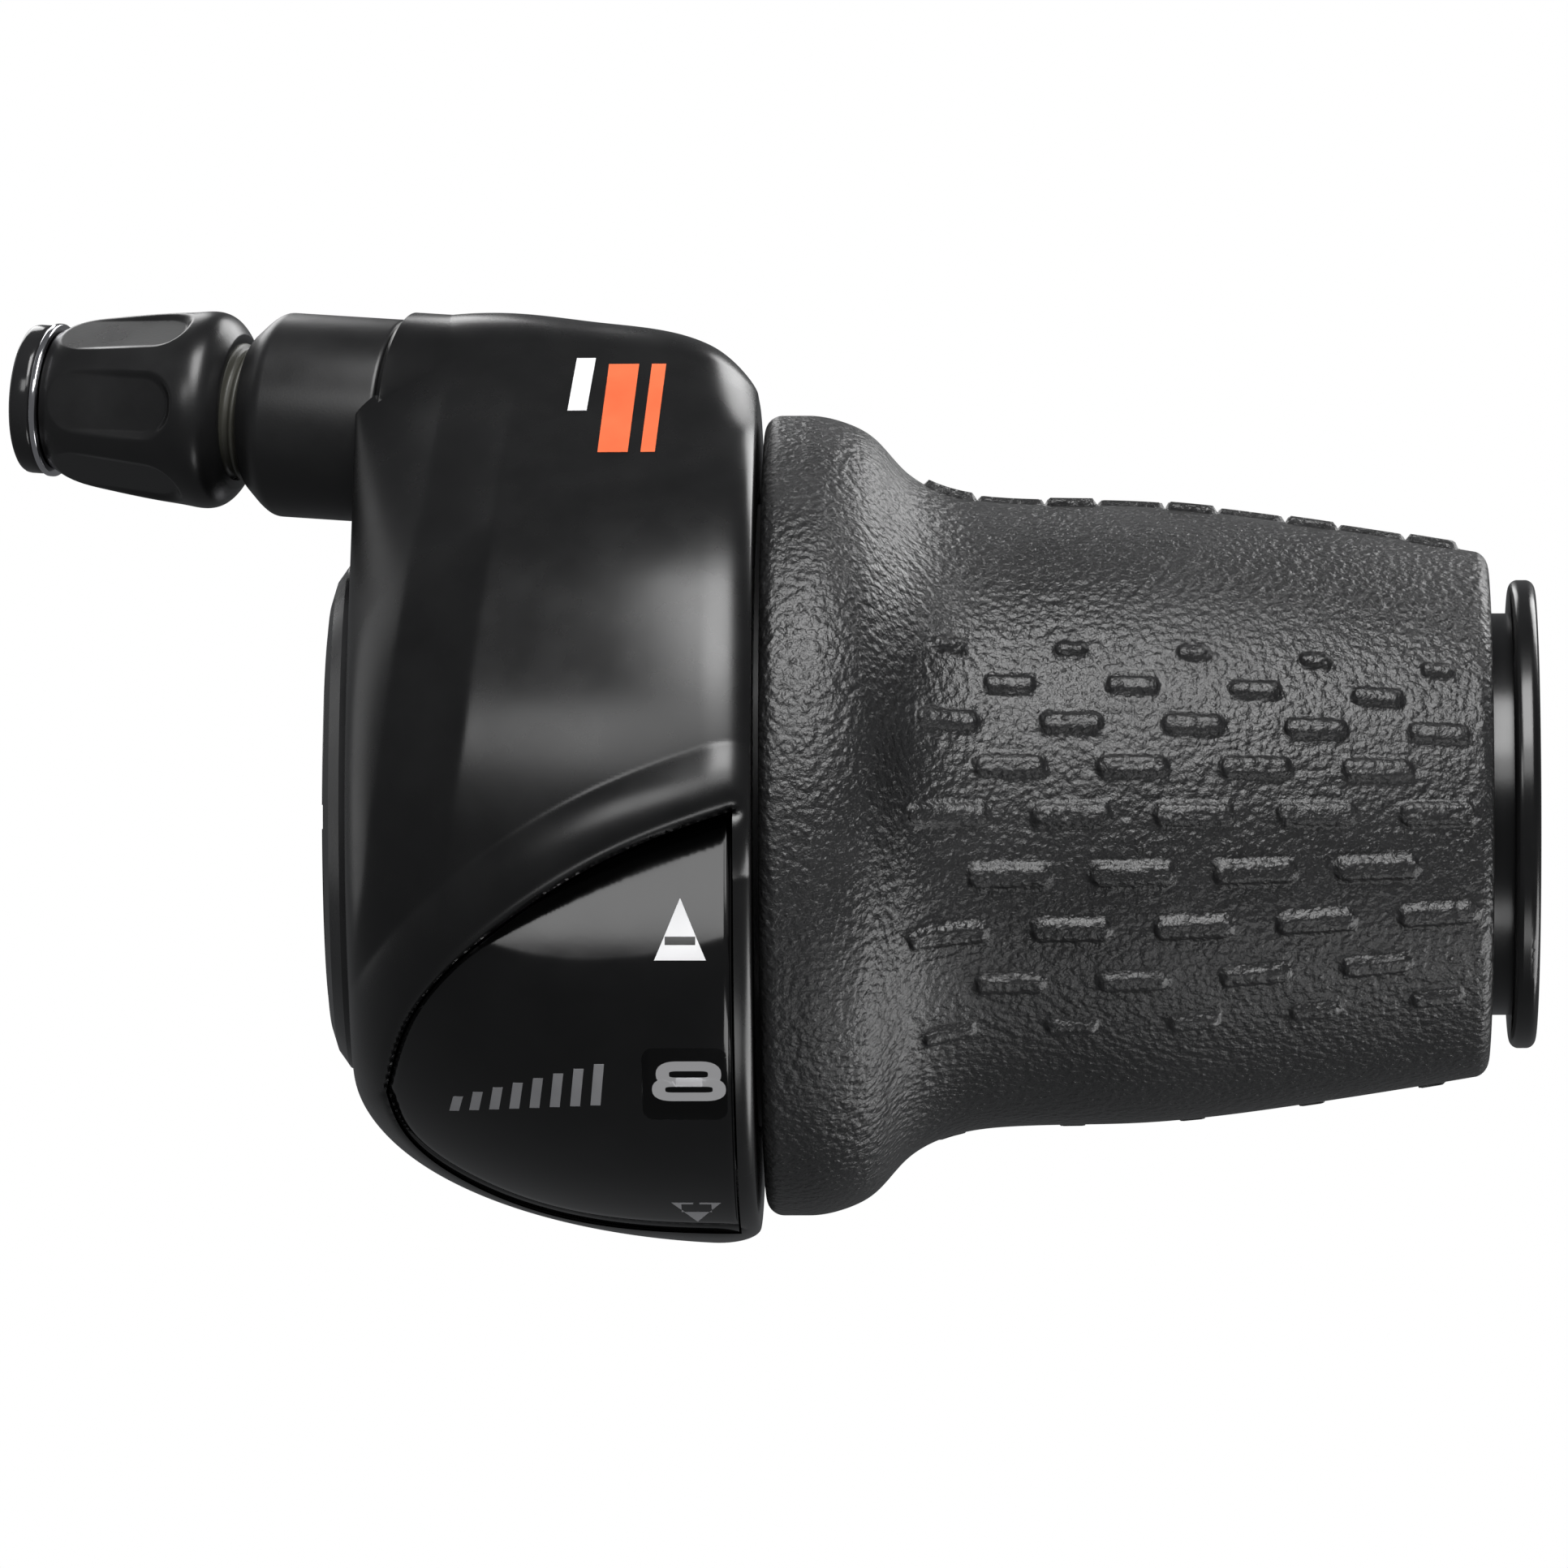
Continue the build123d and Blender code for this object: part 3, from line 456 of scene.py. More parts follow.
# ---------------------------------------------------------------- covers
CREASES = [(3.5, 0.15), (8.6, 0.127)]
CREASE_HEIGHT = 0.5
CREASE_REACH = 3.0
CREASE_SOFT = 0.2
LIP_HEIGHT = 0.7
LIP_WIDTH = 4.2
LIP_ROLL = 1.3
LIP_ROLL_DEPTH = 1.3 * LIP_HEIGHT
RIM_DEPTH = 0.35
RIM_WIDTH = 0.45
END_ROUND = 3.0
END_DROP = 1.0
COVER_START = HOUSING_START + 0.1


def cover_radius(x, angle):
    """The covers' outer surface: the housing with its two creases and the lip over the window."""
    radius = hull_radius(x, angle, 0)
    z = radius * np.sin(angle)
    fade = smoothstep(-14, -4, z) * (1 - smoothstep(22, 29, z))
    for base, lean in CREASES:
        off = np.sqrt((x - base - lean * z) ** 2 + CREASE_SOFT**2)
        radius = radius + CREASE_HEIGHT * np.exp(-off / CREASE_REACH) * fade
    front = smoothstep(0, -6, radius * np.cos(angle))
    near = distance_to(leaf_upper, x, z)
    # the lip swells from a crease, and rolls down to the window's edge
    lip = LIP_HEIGHT * (1 - np.clip((near - LIP_ROLL) / (LIP_WIDTH - LIP_ROLL), 0, 1) ** 2)
    roll = LIP_ROLL_DEPTH * quarter_round(near, LIP_ROLL)
    rim = RIM_DEPTH * quarter_round(np.minimum(near, distance_to(leaf_lower, x, z)), RIM_WIDTH)
    return radius + front * ((lip - roll) * smoothstep(-22, -13, z) - rim)


def cover_shell():
    """The whole housing as one hollow ring, before the cuts."""
    angle = np.linspace(0, 2 * np.pi, 900, endpoint=False)[None, :]

    def outer(x):
        return cover_radius(np.array([[x]]), angle)[0]

    # rows from the base to the rounded end, and back along the inside
    run = COVER_START + (HOUSING_END - END_ROUND - COVER_START) * np.linspace(0, 1, 112) ** 1.25
    rows = [along_bar(x, outer(x), angle[0]) for x in run]
    for bend in np.linspace(0, np.pi / 2, 15)[1:]:
        x = HOUSING_END - END_ROUND * (1 - math.sin(bend))
        rows.append(along_bar(x, outer(x) - END_DROP * (1 - math.cos(bend)), angle[0]))
    rows.append(along_bar(HOUSING_END, END_OPENING_R, angle[0]))
    rows.append(along_bar(HOUSING_END - END_WALL, END_OPENING_R, angle[0]))
    for x in np.linspace(HOUSING_END - END_WALL, BASE_WALL_X, 26):
        rows.append(along_bar(x, hull_radius(np.array([[x]]), angle, WALL)[0], angle[0]))
    rows.append(along_bar(BASE_WALL_X, CLAMP_OPENING_R, angle[0]))
    rows.append(along_bar(COVER_START, CLAMP_OPENING_R, angle[0]))
    return ring_piece("cover", np.array(rows))


def y_tube(start, end, radius, x, z):
    """A closed cylinder along Y, a tool for cuts."""
    def place(s, r, angle):
        s, r, angle = np.broadcast_arrays(s, r, angle)
        return np.stack([x + r * np.cos(angle), s, z + r * np.sin(angle)], axis=-1)
    return plug("tool", start, end, radius, place, 48)


# x and z of each screw, and how far its post's rib runs towards the cover's wall
SCREWS = [(17.0, 22.5, 25.6), (12.2, -20.9, -24.0)]
SCREW_SEAT_Y = 10.5
SCREW_HEAD_R = 2.05
SCREW_HOLE_R = 1.2
POST_R = 2.3
RIB_HALF = 1.5
COLLAR_START = BOSS_SEAM - 5
COLLAR_BORE_R = BOSS_SPIGOT_R - 1
COLLAR_CHAMFER = 0.35
BOSS_GAP = 0.08
SPIGOT_GAP = 0.04
CLAMP_POCKET = ((-1, 12, -12), (7.4, 32, 12))


def make_covers():
    """Both covers, cut from one shell at the split. Returns the front one."""
    shell = cover_shell()
    collar = [(COLLAR_START, COLLAR_BORE_R), (COLLAR_START, COLLAR_RING_R),
              (BOSS_SEAM - COLLAR_CHAMFER, COLLAR_RING_R), (BOSS_SEAM, COLLAR_RING_R - COLLAR_CHAMFER),
              (BOSS_SEAM, COLLAR_BORE_R)]
    combine(shell, turned("tool", collar, along_cable), "UNION")
    for x, z, rib_end in SCREWS:
        low, high = sorted((z, rib_end))
        combine(shell, y_tube(SPLIT_Y - 3.4, SCREW_SEAT_Y + 1.2, POST_R, x, z), "UNION")
        rib = block((x - RIB_HALF, SPLIT_Y - 3.3, low), (x + RIB_HALF, SPLIT_Y, high))
        combine(shell, rib, "UNION")
        combine(shell, y_tube(SPLIT_Y - 5, SCREW_SEAT_Y + 1, SCREW_HOLE_R, x, z), "DIFFERENCE")
        combine(shell, y_tube(SCREW_SEAT_Y, 40, SCREW_HEAD_R, x, z), "DIFFERENCE")
    seat = plug("tool", BOSS_SEAM, 12, BOSS_R + BOSS_GAP, along_cable)
    combine(shell, seat, "DIFFERENCE")
    spigot = plug("tool", -12, BOSS_SEAM + 1, BOSS_SPIGOT_R + SPIGOT_GAP, along_cable)
    combine(shell, spigot, "DIFFERENCE")
    combine(shell, prism(closed_outline(leaf_upper, leaf_lower), -45, -1), "DIFFERENCE")
    combine(shell, block(*CLAMP_POCKET), "DIFFERENCE")
    rear = copy_of(shell, "rear_cover_shell")
    shell.name = "front_cover_shell"
    ahead = block((-9, -FAR, -FAR), (FAR, SPLIT_Y - SPLIT_GAP / 2, FAR))
    combine(shell, ahead, "INTERSECT")
    behind = block((-9, SPLIT_Y + SPLIT_GAP / 2, -FAR), (FAR, FAR, FAR))
    combine(rear, behind, "INTERSECT")
    finish_piece(shell, COVER, "housing", ["front_cover"])
    finish_piece(rear, COVER, "housing", ["rear_cover"])
    return shell


front_cover = make_covers()


# ---------------------------------------------------------------- window
PANEL_GAP = 0.15
PANEL_SINK = 0.3
PANEL_DEPTH = 1.8
PANEL_RIM_DEPTH = 0.3
PANEL_RIM_WIDTH = 0.5
LENS_CORNER_R = 0.8
FACET_TILT = 10.0
FACET_LEAN = 0.19
FACET_LOW_Z = -8.6
FACET_END_X = 25.0
FACET_MIDDLE = (20, -5)
FACET_BEND = 120.0
FACET_WALL = 0.6
FACET_BLEND = 0.6
FACET_LEAST_R = INDEX_R + 0.6


def facet_radius(x, angle):
    """Distance from the bar's axis to the panel's upper facet, kept off the index ring.

    The facet looks up by FACET_TILT degrees, falls away inboard by FACET_LEAN and is slightly bent.
    """
    end_r = hull_radius(np.array([[FACET_END_X]]), np.array([[1.5 * np.pi]]), 0)[0, 0] - PANEL_SINK
    depth = math.sqrt(end_r**2 - FACET_LOW_Z**2) - FACET_LEAN * (FACET_END_X - x)
    tilt = math.radians(FACET_TILT)
    reach = depth * math.cos(tilt) + FACET_LOW_Z * math.sin(tilt)
    radius = reach / np.maximum(np.cos(angle - np.pi + tilt), 0.05)
    z = np.clip(radius * np.sin(angle), -14, 4)
    middle_x, middle_z = FACET_MIDDLE
    radius = radius - ((z - middle_z) ** 2 + 0.1 * (x - middle_x) ** 2) / FACET_BEND
    return np.maximum(radius, FACET_LEAST_R * smoothstep(14, 19, x))


def window_slab():
    """The window's curved sheet: sunk below the cover, and deeper along its upper edge."""
    x = np.linspace(2.6, HOUSING_END - 0.5, 150)[:, None]
    angle = np.radians(np.linspace(176, 290, 420))[None, :]
    base = hull_radius(x, angle, 0)
    z = base * np.sin(angle)
    upper, lower = leaf(PANEL_GAP)
    right = np.array([upper[0], lower[-1]])
    edge = np.minimum(np.minimum(distance_to(upper, x, z), distance_to(lower, x, z)),
                      distance_to(right, x, z))
    rim = PANEL_RIM_DEPTH * quarter_round(edge, PANEL_RIM_WIDTH)
    sunk = base - PANEL_SINK
    # the upper facet runs into the curved lower part over FACET_BLEND
    facet = facet_radius(x, angle)
    blend = np.maximum(FACET_BLEND - np.abs(sunk - facet), 0) ** 2 / (4 * FACET_BLEND)
    top = np.minimum(sunk, facet) - blend - rim
    bottom = np.minimum(base - PANEL_DEPTH, facet - FACET_WALL)
    return along_bar(x, top, angle), along_bar(x, bottom, angle)


def make_window():
    """The panel and the lens in it, cut from one sheet. Returns the panel."""
    top, bottom = window_slab()
    panel = slab_piece("window_panel_gloss", [(top, bottom, False)])
    lens = copy_of(panel, "window_lens_clear")
    (left, _, low), (right, _, high) = LENS_LOW, LENS_HIGH
    opening = rounded([(left, low), (right, low), (right, high), (left, high)], LENS_CORNER_R, 8)
    combine(panel, prism(closed_outline(*leaf(PANEL_GAP)), -45, -1), "INTERSECT")
    combine(panel, prism(opening, -45, -1), "DIFFERENCE")
    combine(lens, prism(opening, -45, -1), "INTERSECT")
    finish_piece(panel, WINDOW, "housing", ["window_panel"])
    finish_piece(lens, LENS, "housing", ["window_lens"])
    return panel


window_panel = make_window()


# ---------------------------------------------------------------- printed marks
def ribbon(path, width, looped=False):
    """A strip of even width along a path of 2-D points, as a grid with two columns."""
    p = np.array(path, float)
    if looped:
        ahead, behind = np.roll(p, -1, axis=0), np.roll(p, 1, axis=0)
    else:
        ahead, behind = np.vstack([p[1:], p[-1]]), np.vstack([p[0], p[:-1]])
    run = ahead - behind
    run /= np.linalg.norm(run, axis=1)[:, None]
    side = np.stack([-run[:, 1], run[:, 0]], axis=1) * width / 2
    return np.stack([p - side, p + side], axis=1)


def quad_patch(a, b, c, d, rows=12, columns=6):
    """An even grid over the quadrilateral a, b, c, d."""
    u = np.linspace(0, 1, rows)[:, None, None]
    v = np.linspace(0, 1, columns)[None, :, None]
    a, b, c, d = (np.array(k, float) for k in (a, b, c, d))
    return (1 - u) * ((1 - v) * a + v * b) + u * ((1 - v) * d + v * c)


def on_front(piece):
    """A projector that drops (x, z) marks on the front of a piece."""
    mesh = piece.data
    tree = BVHTree.FromPolygons([v.co for v in mesh.vertices], [p.vertices for p in mesh.polygons])

    def project(grid, lift):
        out = np.zeros((*grid.shape[:2], 3))
        for i, j in np.ndindex(*grid.shape[:2]):
            x, z = grid[i, j] * MM
            hit, normal, _, _ = tree.ray_cast(Vector((x, -0.1, z)), Vector((0, 1, 0)))
            out[i, j] = np.array(hit + normal * lift * MM) / MM
        return out
    return project


def printed(name, patches, project, material, body):
    """Thin raised print from 2-D patches, each a grid or a (grid, looped) pair."""
    slabs = []
    for patch in patches:
        grid, looped = patch if isinstance(patch, tuple) else (patch, False)
        slabs.append((project(grid, 0.03), project(grid, -0.08), looped))
    return finish_piece(slab_piece(name, slabs), material, body)


PANEL_MARKS = on_front(window_panel)
COVER_MARKS = on_front(front_cover)


SIGN_HALF_STROKE = 0.26
SIGN_HALF_WIDTH = 0.95
CROSS_HALF_STROKE = 0.2


def triangle_with_bar(apex, base_z, half, bar_z, cross):
    """A solid triangle cut by a dark minus, or by a plus, as patches that leave the sign bare."""
    x, tip = apex

    def wide(z):
        return half * abs(z - tip) / abs(base_z - tip)

    step = 1 if tip > base_z else -1
    top, bottom = bar_z + step * SIGN_HALF_STROKE, bar_z - step * SIGN_HALF_STROKE
    inner = SIGN_HALF_WIDTH
    patches = [quad_patch((x - 0.02, tip), (x + 0.02, tip), (x + wide(top), top), (x - wide(top), top)),
               quad_patch((x - wide(bottom), bottom), (x + wide(bottom), bottom), (x + half, base_z),
                          (x - half, base_z))]
    for side in (-1, 1):
        patches.append(quad_patch((x + side * wide(top), top), (x + side * inner, top),
                                  (x + side * inner, bottom), (x + side * wide(bottom), bottom),
                                  4, 4))
    if cross:
        left, right = x - CROSS_HALF_STROKE, x + CROSS_HALF_STROKE
        patches[1] = quad_patch((x - wide(bottom), bottom), (left, bottom), (left, base_z),
                                (x - half, base_z))
        patches.append(quad_patch((right, bottom), (x + wide(bottom), bottom), (x + half, base_z),
                                  (right, base_z)))
    return patches


printed("mark_shift_up", triangle_with_bar((22.7, -5.05), -8.85, 1.6, -7.65, False), PANEL_MARKS,
        WHITE, "housing")
printed("mark_shift_down", triangle_with_bar((23.3, -25.4), -24.15, 1.55, -24.5, True), PANEL_MARKS,
        SILVER, "housing")

TICKS = 8
TICK_START = (8.0, -18.3)
TICK_STEP = (1.28, 0.06)
TICK_WIDTH = 0.62
TICK_LEAN = 0.3
FIRST_TICK_HEIGHT = 0.9
TICK_GROWTH = 0.24
tick_marks = []
for tick in range(TICKS):
    left = TICK_START[0] + TICK_STEP[0] * tick
    right = left + TICK_WIDTH
    low = TICK_START[1] + TICK_STEP[1] * tick
    high = low + FIRST_TICK_HEIGHT + TICK_GROWTH * tick
    tick_marks.append(quad_patch((left, low), (right, low), (right + TICK_LEAN, high),
                                 (left + TICK_LEAN, high), 6, 3))
printed("mark_gear_ticks", tick_marks, PANEL_MARKS, SILVER, "housing")



def slanted_bar(x, width, low, high, lean, rows, columns):
    """A bar whose upper end leans to the right."""
    return quad_patch((x, low), (x + width, low), (x + width + lean, high), (x + lean, high),
                      rows, columns)


ORANGE_BARS = [(17.3, 1.9), (20.0, 0.9)]
stripes = [slanted_bar(x, width, 22.7, 28.4, 0.5, 24, 5) for x, width in ORANGE_BARS]
printed("mark_accent_orange", stripes, COVER_MARKS, ORANGE, "housing")
white_bar = slanted_bar(15.3, 1.2, 25.4, 28.8, 0.45, 16, 4)
printed("mark_accent_white", [white_bar], COVER_MARKS, WHITE, "housing")


# ---------------------------------------------------------------- gear numbers on the index ring
DIGIT_WIDTH = 4.6
DIGIT_HEIGHT = 3.7
STROKE = 0.82
DIGIT_X = 22.95
FIRST_GEAR_ANGLE = -47.6
CLICK = 15.0
GEARS = 8


def loop(x0, y0, x1, y1):
    """A closed stroke round a rectangle, in units of the digit's size."""
    return rounded([(x0, y0), (x1, y0), (x1, y1), (x0, y1)], 0.28, 7), True


def line(*points):
    """An open stroke through points, with its corners rounded."""
    p = np.array(points, float)
    inner = rounded(p, 0.22, 7)[7:-7] if len(p) > 2 else np.empty((0, 2))
    return resample(np.vstack([p[0], inner, p[-1]]), 40), False


DIGITS = {
    8: [loop(0.07, 0.5, 0.93, 1), loop(0, 0, 1, 0.5)],
    7: [line((0, 1), (1, 1), (0.4, 0))],
    6: [loop(0, 0, 1, 0.52), line((0.9, 1), (0, 1), (0, 0.26))],
    5: [line((0.95, 1), (0.05, 1), (0.05, 0.54), (1, 0.54), (1, 0), (0, 0))],
    4: [line((0.75, 0), (0.75, 1), (0, 0.3), (1, 0.3))],
    3: [line((0, 1), (1, 1), (1, 0.52), (0.25, 0.52)), line((0.6, 0.52), (1, 0.52), (1, 0), (0, 0))],
    2: [line((0, 1), (1, 1), (1, 0.55), (0, 0.45), (0, 0), (1, 0))],
    1: [line((0.25, 0.8), (0.55, 1), (0.55, 0))],
}


def on_ring(grid, lift):
    """Wraps (x, height) marks on the index ring, at the angle held in the height."""
    turn = np.pi - grid[..., 1] / INDEX_R
    return along_bar(grid[..., 0], INDEX_R + lift, turn)


number_marks = []
scale = np.array([DIGIT_WIDTH - STROKE, DIGIT_HEIGHT - STROKE])
for gear, strokes in DIGITS.items():
    middle = math.radians(FIRST_GEAR_ANGLE - CLICK * (GEARS - gear)) * INDEX_R
    corner = np.array([DIGIT_X, middle]) - scale / 2
    for path, looped in strokes:
        number_marks.append((ribbon(corner + path * scale, STROKE, looped), looped))
# the numbers use the white print material with its painted glow (emission)
printed("gear_numbers", number_marks, on_ring, NUMBER_PAINTED_GLOW, "grip")


# ---------------------------------------------------------------- cable boss and adjuster
BOSS_OUTLINE = [(-9.0, 1.83), (-7.0, 1.83), (-7.0, BOLT_R + 0.05), (6.1, BOLT_R + 0.05), (6.1, 4.95),
                (4.9, 6.1), (4.3, BOSS_R), (BOSS_SEAM + 0.12, BOSS_R), (BOSS_SEAM + 0.12, BOSS_SPIGOT_R),
                (-9.0, BOSS_SPIGOT_R)]
finish_piece(turned("cable_boss_satin", BOSS_OUTLINE, along_cable, 200, 0.35), BOSS, "housing",
             ["cable_boss"], 40)

SEAT_START = 12.4
SEAT_FLANGE = 19.95
SEAT_FLANGE_R = 4.75
CASING_STOP = SEAT_END - CASING_DEPTH
SEAT_OUTLINE = [(SEAT_START, BOLT_BORE_R), (CASING_STOP, BOLT_BORE_R), (CASING_STOP, CASING_R),
                (SEAT_END, CASING_R), (SEAT_END, SEAT_FLANGE_R), (SEAT_FLANGE, SEAT_FLANGE_R),
                (SEAT_FLANGE, SEAT_STEM_R), (SEAT_START, SEAT_STEM_R)]
finish_piece(turned("casing_seat_gloss", SEAT_OUTLINE, along_cable, 200, 0.42), SEAT, "casing_end",
             ["casing_seat"], 40)
RING_START = 19.5
RING_R = 4.9
RING_OUTLINE = [(RING_START, SEAT_STEM_R), (SEAT_FLANGE, SEAT_STEM_R), (SEAT_FLANGE, RING_R),
                (RING_START, RING_R)]
finish_piece(turned("seat_ring_bright", RING_OUTLINE, along_cable, 200, 0.16), BRIGHT, "casing_end",
             ["seat_ring"], 50)

BARREL_OUTER = [(BARREL_START, 4.9), (7.7, 5.5), (8.4, 6.1), (9.1, 6.28), (10.2, 6.2), (12.0, 6.02),
                (16.0, 5.5), (18.6, 4.85), (BARREL_END, 4.4)]
BARREL_BORE_R = 3.66
FLAT_COUNT = 6
FLAT_R = 5.62
FLAT_R_AT = 9.9
FLAT_TAPER = math.tan(math.radians(5.5))
FLAT_START = 10.2
FLAT_HALF_WIDTH = 2.05
FLAT_ROUND_R = 1.9
FLAT_BLEND = 0.28


def make_barrel():
    """The barrel: long flats with round starts, a rim ring, and a bore for the bolt and the seat."""
    outer = spline(BARREL_OUTER, 130)
    angle = np.linspace(0, 2 * np.pi, 480, endpoint=False)[None, :]
    s, radius = outer[:, 0:1], outer[:, 1:2]
    pitch = 2 * np.pi / FLAT_COUNT
    off = (angle - pitch / 2) % pitch - pitch / 2
    flat = (FLAT_R - (s - FLAT_R_AT) * FLAT_TAPER) / np.cos(off)
    across = np.abs(np.sin(off)) * radius
    # distance outside the flat's round-ended outline, negative inside it
    dx = np.maximum(FLAT_START + FLAT_ROUND_R - s, 0)
    dy = np.maximum(across - (FLAT_HALF_WIDTH - FLAT_ROUND_R), 0)
    outside = np.hypot(dx, dy) - FLAT_ROUND_R
    inside = smoothstep(FLAT_BLEND, -FLAT_BLEND, outside)
    outer_r = radius + (np.minimum(flat, radius) - radius) * inside
    rows = [along_cable(s, outer_r, angle)]
    for distance, inner_r in ((BARREL_END, BARREL_BORE_R), (BOLT_END, BARREL_BORE_R),
                              (BOLT_END, BOLT_R), (BARREL_START, BOLT_R)):
        rows.append(along_cable(np.array([[distance]]), inner_r, angle))
    piece = ring_piece("adjuster_barrel_satin", np.vstack(rows))
    return finish_piece(piece, BARREL, "barrel", ["adjuster_barrel"], 40)


make_barrel()

THREAD_PITCH = 1.0
THREAD_DEPTH = 0.42
THREAD_RUN_OUT = 1.0
THREAD_GAP = 0.02


def make_bolt():
    """The hollow adjuster bolt with its thread."""
    s = np.linspace(BOLT_START, BOLT_END, 240)[:, None]
    angle = np.linspace(0, 2 * np.pi, 96, endpoint=False)[None, :]
    phase = (s / THREAD_PITCH - angle / (2 * np.pi)) % 1
    valley = smoothstep(0.12, 0.45, np.abs(phase - 0.5))
    run_out = smoothstep(BOLT_START, BOLT_START + THREAD_RUN_OUT, s)
    run_out = run_out * smoothstep(BOLT_END, BOLT_END - THREAD_RUN_OUT, s)
    outer_r = BOLT_R - THREAD_GAP - THREAD_DEPTH * (1 - valley) * run_out
    rows = [along_cable(s, outer_r, angle)]
    for distance in (BOLT_END, BOLT_START):
        rows.append(along_cable(np.array([[distance]]), BOLT_BORE_R, angle))
    piece = ring_piece("adjuster_bolt_thread", np.vstack(rows))
    return finish_piece(piece, BOLT, "barrel", ["adjuster_bolt"], 50)


make_bolt()


# ---------------------------------------------------------------- grip
BELL_R = 25.3
TIP_START = 72.0
TIP_CORNER_R = 15.55
GRIP_CORNER = 1.1
GRIP_POINTS = [(30.2, BELL_R), (32.4, 24.9), (34.2, 24.0), (36.3, 21.8), (39.4, 20.2), (43.0, 19.7),
               (50.7, 19.5), (60.9, 18.4), (TIP_START, 16.65)]
GRIP_UNDER = [(73.1, 14.3), (72.2, 14.3), (72.2, 15.3), (66.0, 15.4), (60.0, 16.1), (51.0, 17.0),
              (43.0, 17.3), (38.6, 17.9), (35.8, 19.4), (33.2, 21.9), (31.0, 22.6), (GRIP_START, 22.6)]
# the angle of each patch of pads round the grip, counted from the rider's side
PATCHES = (0, 128, 228)
# each row of pads: how high it sits on the rider's side, in degrees, and the width of its pads
PAD_ROWS = [(31.5, 2.0), (24.4, 3.1), (17.1, 3.8), (9.1, 4.4), (0.2, 4.9), (-10.8, 5.2),
            (-21.2, 4.9), (-31.8, 4.3), (-41.8, 3.2)]
COLUMN_PITCH = 7.6
FIRST_COLUMN = 39.2
PAD_HEIGHT = 0.48
PAD_TALL = 1.4
WIDEST_PAD = 5.2
PAD_EDGE = (-0.22, 0.12)
PAD_COLUMNS = 5


def grip_profile():
    """The grip's outer line from the bell's front edge to the tip."""
    face = [(GRIP_START + GRIP_CORNER * (1 - math.cos(t)), BELL_R - GRIP_CORNER * (1 - math.sin(t)))
            for t in np.linspace(0, math.pi / 2, 12)]
    skin = spline(GRIP_POINTS, 230, (1, 0), (1, -0.17))
    tip = [(TIP_START + GRIP_CORNER * math.sin(t), TIP_CORNER_R + GRIP_CORNER * math.cos(t))
           for t in np.linspace(0.17, math.pi / 2, 10)]
    return np.vstack([face, skin, tip[1:]])


def pad_height(x, rise, radius):
    """Height of the pads: rounded bars in staggered rows, in patches round the grip.

    rise is the angle in degrees, counted from the rider's side upwards.
    """
    height = np.zeros(np.broadcast(x, rise).shape)
    for row, (row_rise, width) in enumerate(PAD_ROWS):
        # narrower pads are lower too
        tall = PAD_TALL * (0.45 + 0.55 * width / WIDEST_PAD)
        round_r = 0.42 * tall
        for patch in PATCHES:
            off = (rise - row_rise - patch + 180) % 360 - 180
            dy = np.abs(np.radians(off) * radius)
            for column in range(PAD_COLUMNS - row % 2):
                middle = FIRST_COLUMN + COLUMN_PITCH * (column + 0.5 * (row % 2))
                dx = np.abs(x - middle) - (width - tall) / 2
                away = np.hypot(np.maximum(dx + round_r - tall / 2, 0),
                                np.maximum(dy + round_r - tall / 2, 0)) - round_r
                height = np.maximum(height, PAD_HEIGHT * (1 - smoothstep(*PAD_EDGE, away)))
    return height


def make_grip():
    """The rubber with its pads, round the core."""
    profile = grip_profile()
    angle = np.linspace(0, 2 * np.pi, 560, endpoint=False)[None, :]
    x, radius = profile[:, 0:1], profile[:, 1:2]
    rise = 180 - np.degrees(angle)
    lift = pad_height(x, rise, radius)
    skin = along_bar(x, radius + lift, angle)
    under = np.array(GRIP_UNDER)
    inner = along_bar(under[:, 0:1], under[:, 1:2], angle)
    piece = ring_piece("grip_skin", np.vstack([skin, inner]))
    return finish_piece(piece, RUBBER, "grip", ["grip_rubber"], 60)


make_grip()


# ---------------------------------------------------------------- studio
def aim(thing, target):
    """Turns a light or camera to face a target point in metres."""
    away = Vector(target) - thing.location
    thing.rotation_mode = "QUATERNION"
    thing.rotation_quaternion = away.to_track_quat("-Z", "Y")


OBJECT_MIDDLE = (0.030, 0.0, 0.0)


def softbox(name, azimuth, elevation, distance, width, height, power):
    """A soft area light on the object. Azimuth 0 is on the camera's side, positive to the right."""
    a, e = math.radians(azimuth), math.radians(elevation)
    lamp = bpy.data.lights.new(name, "AREA")
    lamp.shape = "RECTANGLE"
    lamp.size = width
    lamp.size_y = height
    lamp.energy = power
    light = bpy.data.objects.new(name, lamp)
    bpy.context.scene.collection.objects.link(light)
    light.location = Vector(OBJECT_MIDDLE) + distance * Vector(
        (math.sin(a) * math.cos(e), -math.cos(a) * math.cos(e), math.sin(e)))
    aim(light, OBJECT_MIDDLE)
    light.visible_camera = False


# name, azimuth and elevation in degrees, distance, width and height in metres, power in watts
LIGHTS = [
    ("key_above", 8, 52, 0.8, 0.42, 0.50, 6.5),
    ("front_upper", 8, 27, 0.8, 0.42, 0.24, 1.3),
    ("front_left", -23, 21, 0.8, 0.30, 0.22, 0.9),
    ("low_right", 34, -58, 0.5, 0.26, 0.14, 0.45),
    ("left_fill", -118, 12, 0.8, 0.30, 0.60, 0.4),
    ("back_left", -156, 32, 0.9, 0.45, 0.45, 2.2),
    ("back_right", 138, 35, 0.9, 0.45, 0.45, 3.5),
    ("right_low", 98, -34, 0.8, 0.45, 0.45, 3.4),
]
for light_row in LIGHTS:
    softbox(*light_row)

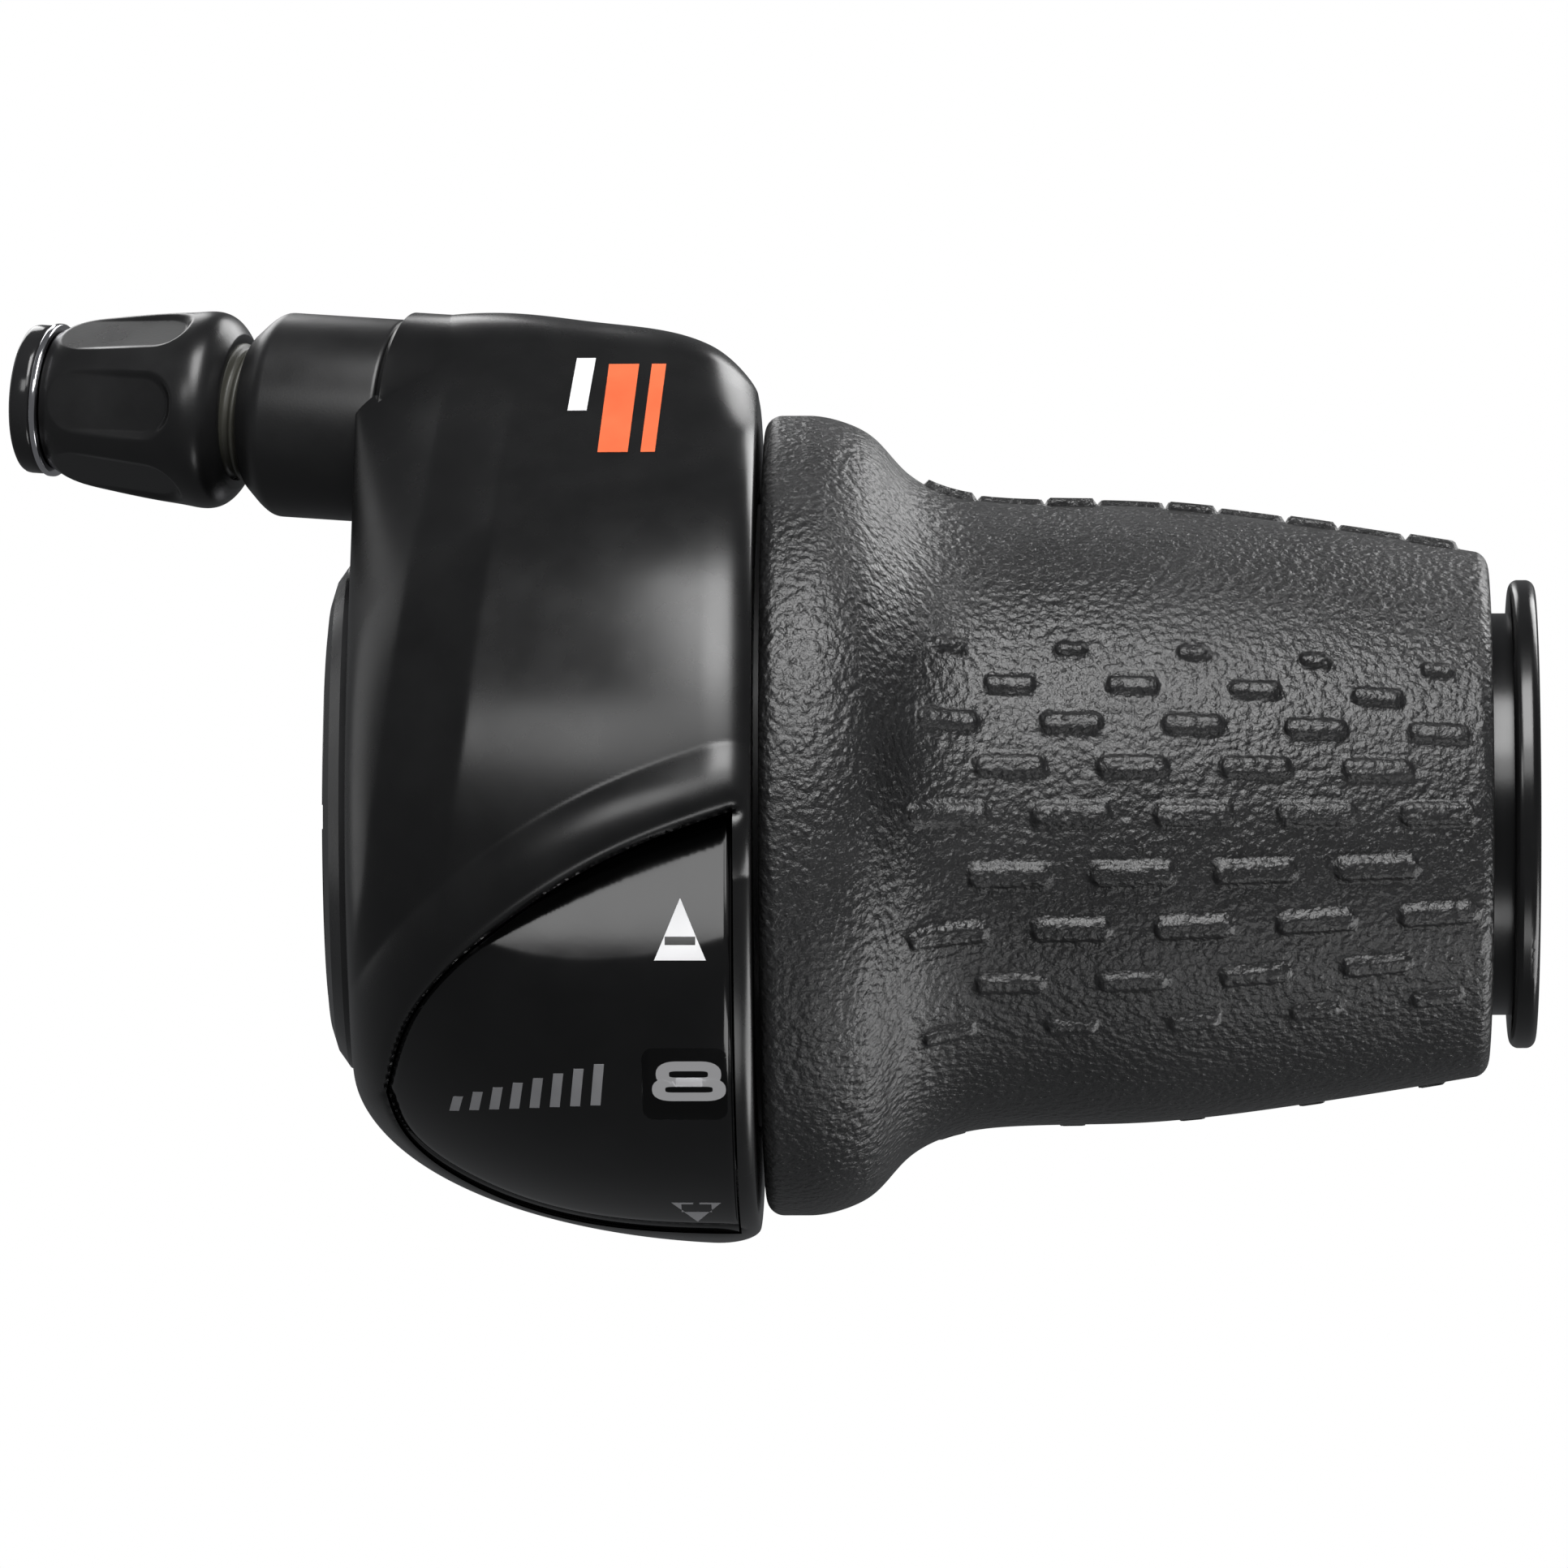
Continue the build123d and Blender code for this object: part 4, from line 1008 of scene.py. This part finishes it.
FLOOR_Z = -0.55
FLOOR_R = 1.6
FLOOR_SIDES = 96
WASH_RISE = 0.35
WASH_POWER = 32
floor_mesh = bpy.data.meshes.new("studio_floor")
rim_points = [(FLOOR_R * math.cos(t), FLOOR_R * math.sin(t), FLOOR_Z)
              for t in np.linspace(0, 2 * math.pi, FLOOR_SIDES, endpoint=False)]
floor_mesh.from_pydata(rim_points, [], [tuple(range(FLOOR_SIDES))])
floor = bpy.data.objects.new("studio_floor", floor_mesh)
bpy.context.scene.collection.objects.link(floor)
PALE = moulded("floor_pale", grey(0.78), grey(0.82), (0.6, 0.7), 4.0, 0.05, cloud=3.0)
floor_mesh.materials.append(PALE)
floor.visible_glossy = False
floor.visible_diffuse = False

# lights the floor only: it faces down, and the floor throws no light back on the object
wash_lamp = bpy.data.lights.new("floor_wash", "AREA")
wash_lamp.size = 2 * FLOOR_R
wash_lamp.energy = WASH_POWER
wash = bpy.data.objects.new("floor_wash", wash_lamp)
bpy.context.scene.collection.objects.link(wash)
wash.location = (0, 0, FLOOR_Z + WASH_RISE)
wash.visible_camera = False

AMBIENT = 0.13
world = bpy.data.worlds.new("studio")
bpy.context.scene.world = world
world.use_nodes = True
world_nodes, world_links = world.node_tree.nodes, world.node_tree.links
seen = world_nodes["Background"]
seen.inputs["Color"].default_value = (1, 1, 1, 1)
seen.inputs["Strength"].default_value = 1.0
ambient = world_nodes.new("ShaderNodeBackground")
ambient.inputs["Color"].default_value = (0.95, 0.97, 1.0, 1)
ambient.inputs["Strength"].default_value = AMBIENT
chooser = world_nodes.new("ShaderNodeMixShader")
rays = world_nodes.new("ShaderNodeLightPath")
world_links.new(rays.outputs["Is Camera Ray"], chooser.inputs["Fac"])
world_links.new(ambient.outputs["Background"], chooser.inputs[1])
world_links.new(seen.outputs["Background"], chooser.inputs[2])
world_links.new(chooser.outputs["Shader"], world_nodes["World Output"].inputs["Surface"])

CAMERA_DISTANCE = 0.9
CAMERA_PLACE = (0.04778, -CAMERA_DISTANCE, 0.0020)
CAMERA_TARGET = (0.0286, 0.0, 0.0020)
PICTURE_WIDTH = 0.09923
CAMERA_ROLL = -0.12
SENSOR = 36.0
camera_data = bpy.data.cameras.new("camera")
camera_data.sensor_width = SENSOR
camera_data.lens = SENSOR * CAMERA_DISTANCE / PICTURE_WIDTH
camera_data.clip_start = 0.01
camera = bpy.data.objects.new("camera", camera_data)
bpy.context.scene.collection.objects.link(camera)
camera.location = CAMERA_PLACE
aim(camera, CAMERA_TARGET)
roll = Matrix.Rotation(math.radians(CAMERA_ROLL), 3, "Z").to_quaternion()
camera.rotation_quaternion = camera.rotation_quaternion @ roll
bpy.context.scene.camera = camera
bpy.context.scene.view_settings.view_transform = "Standard"
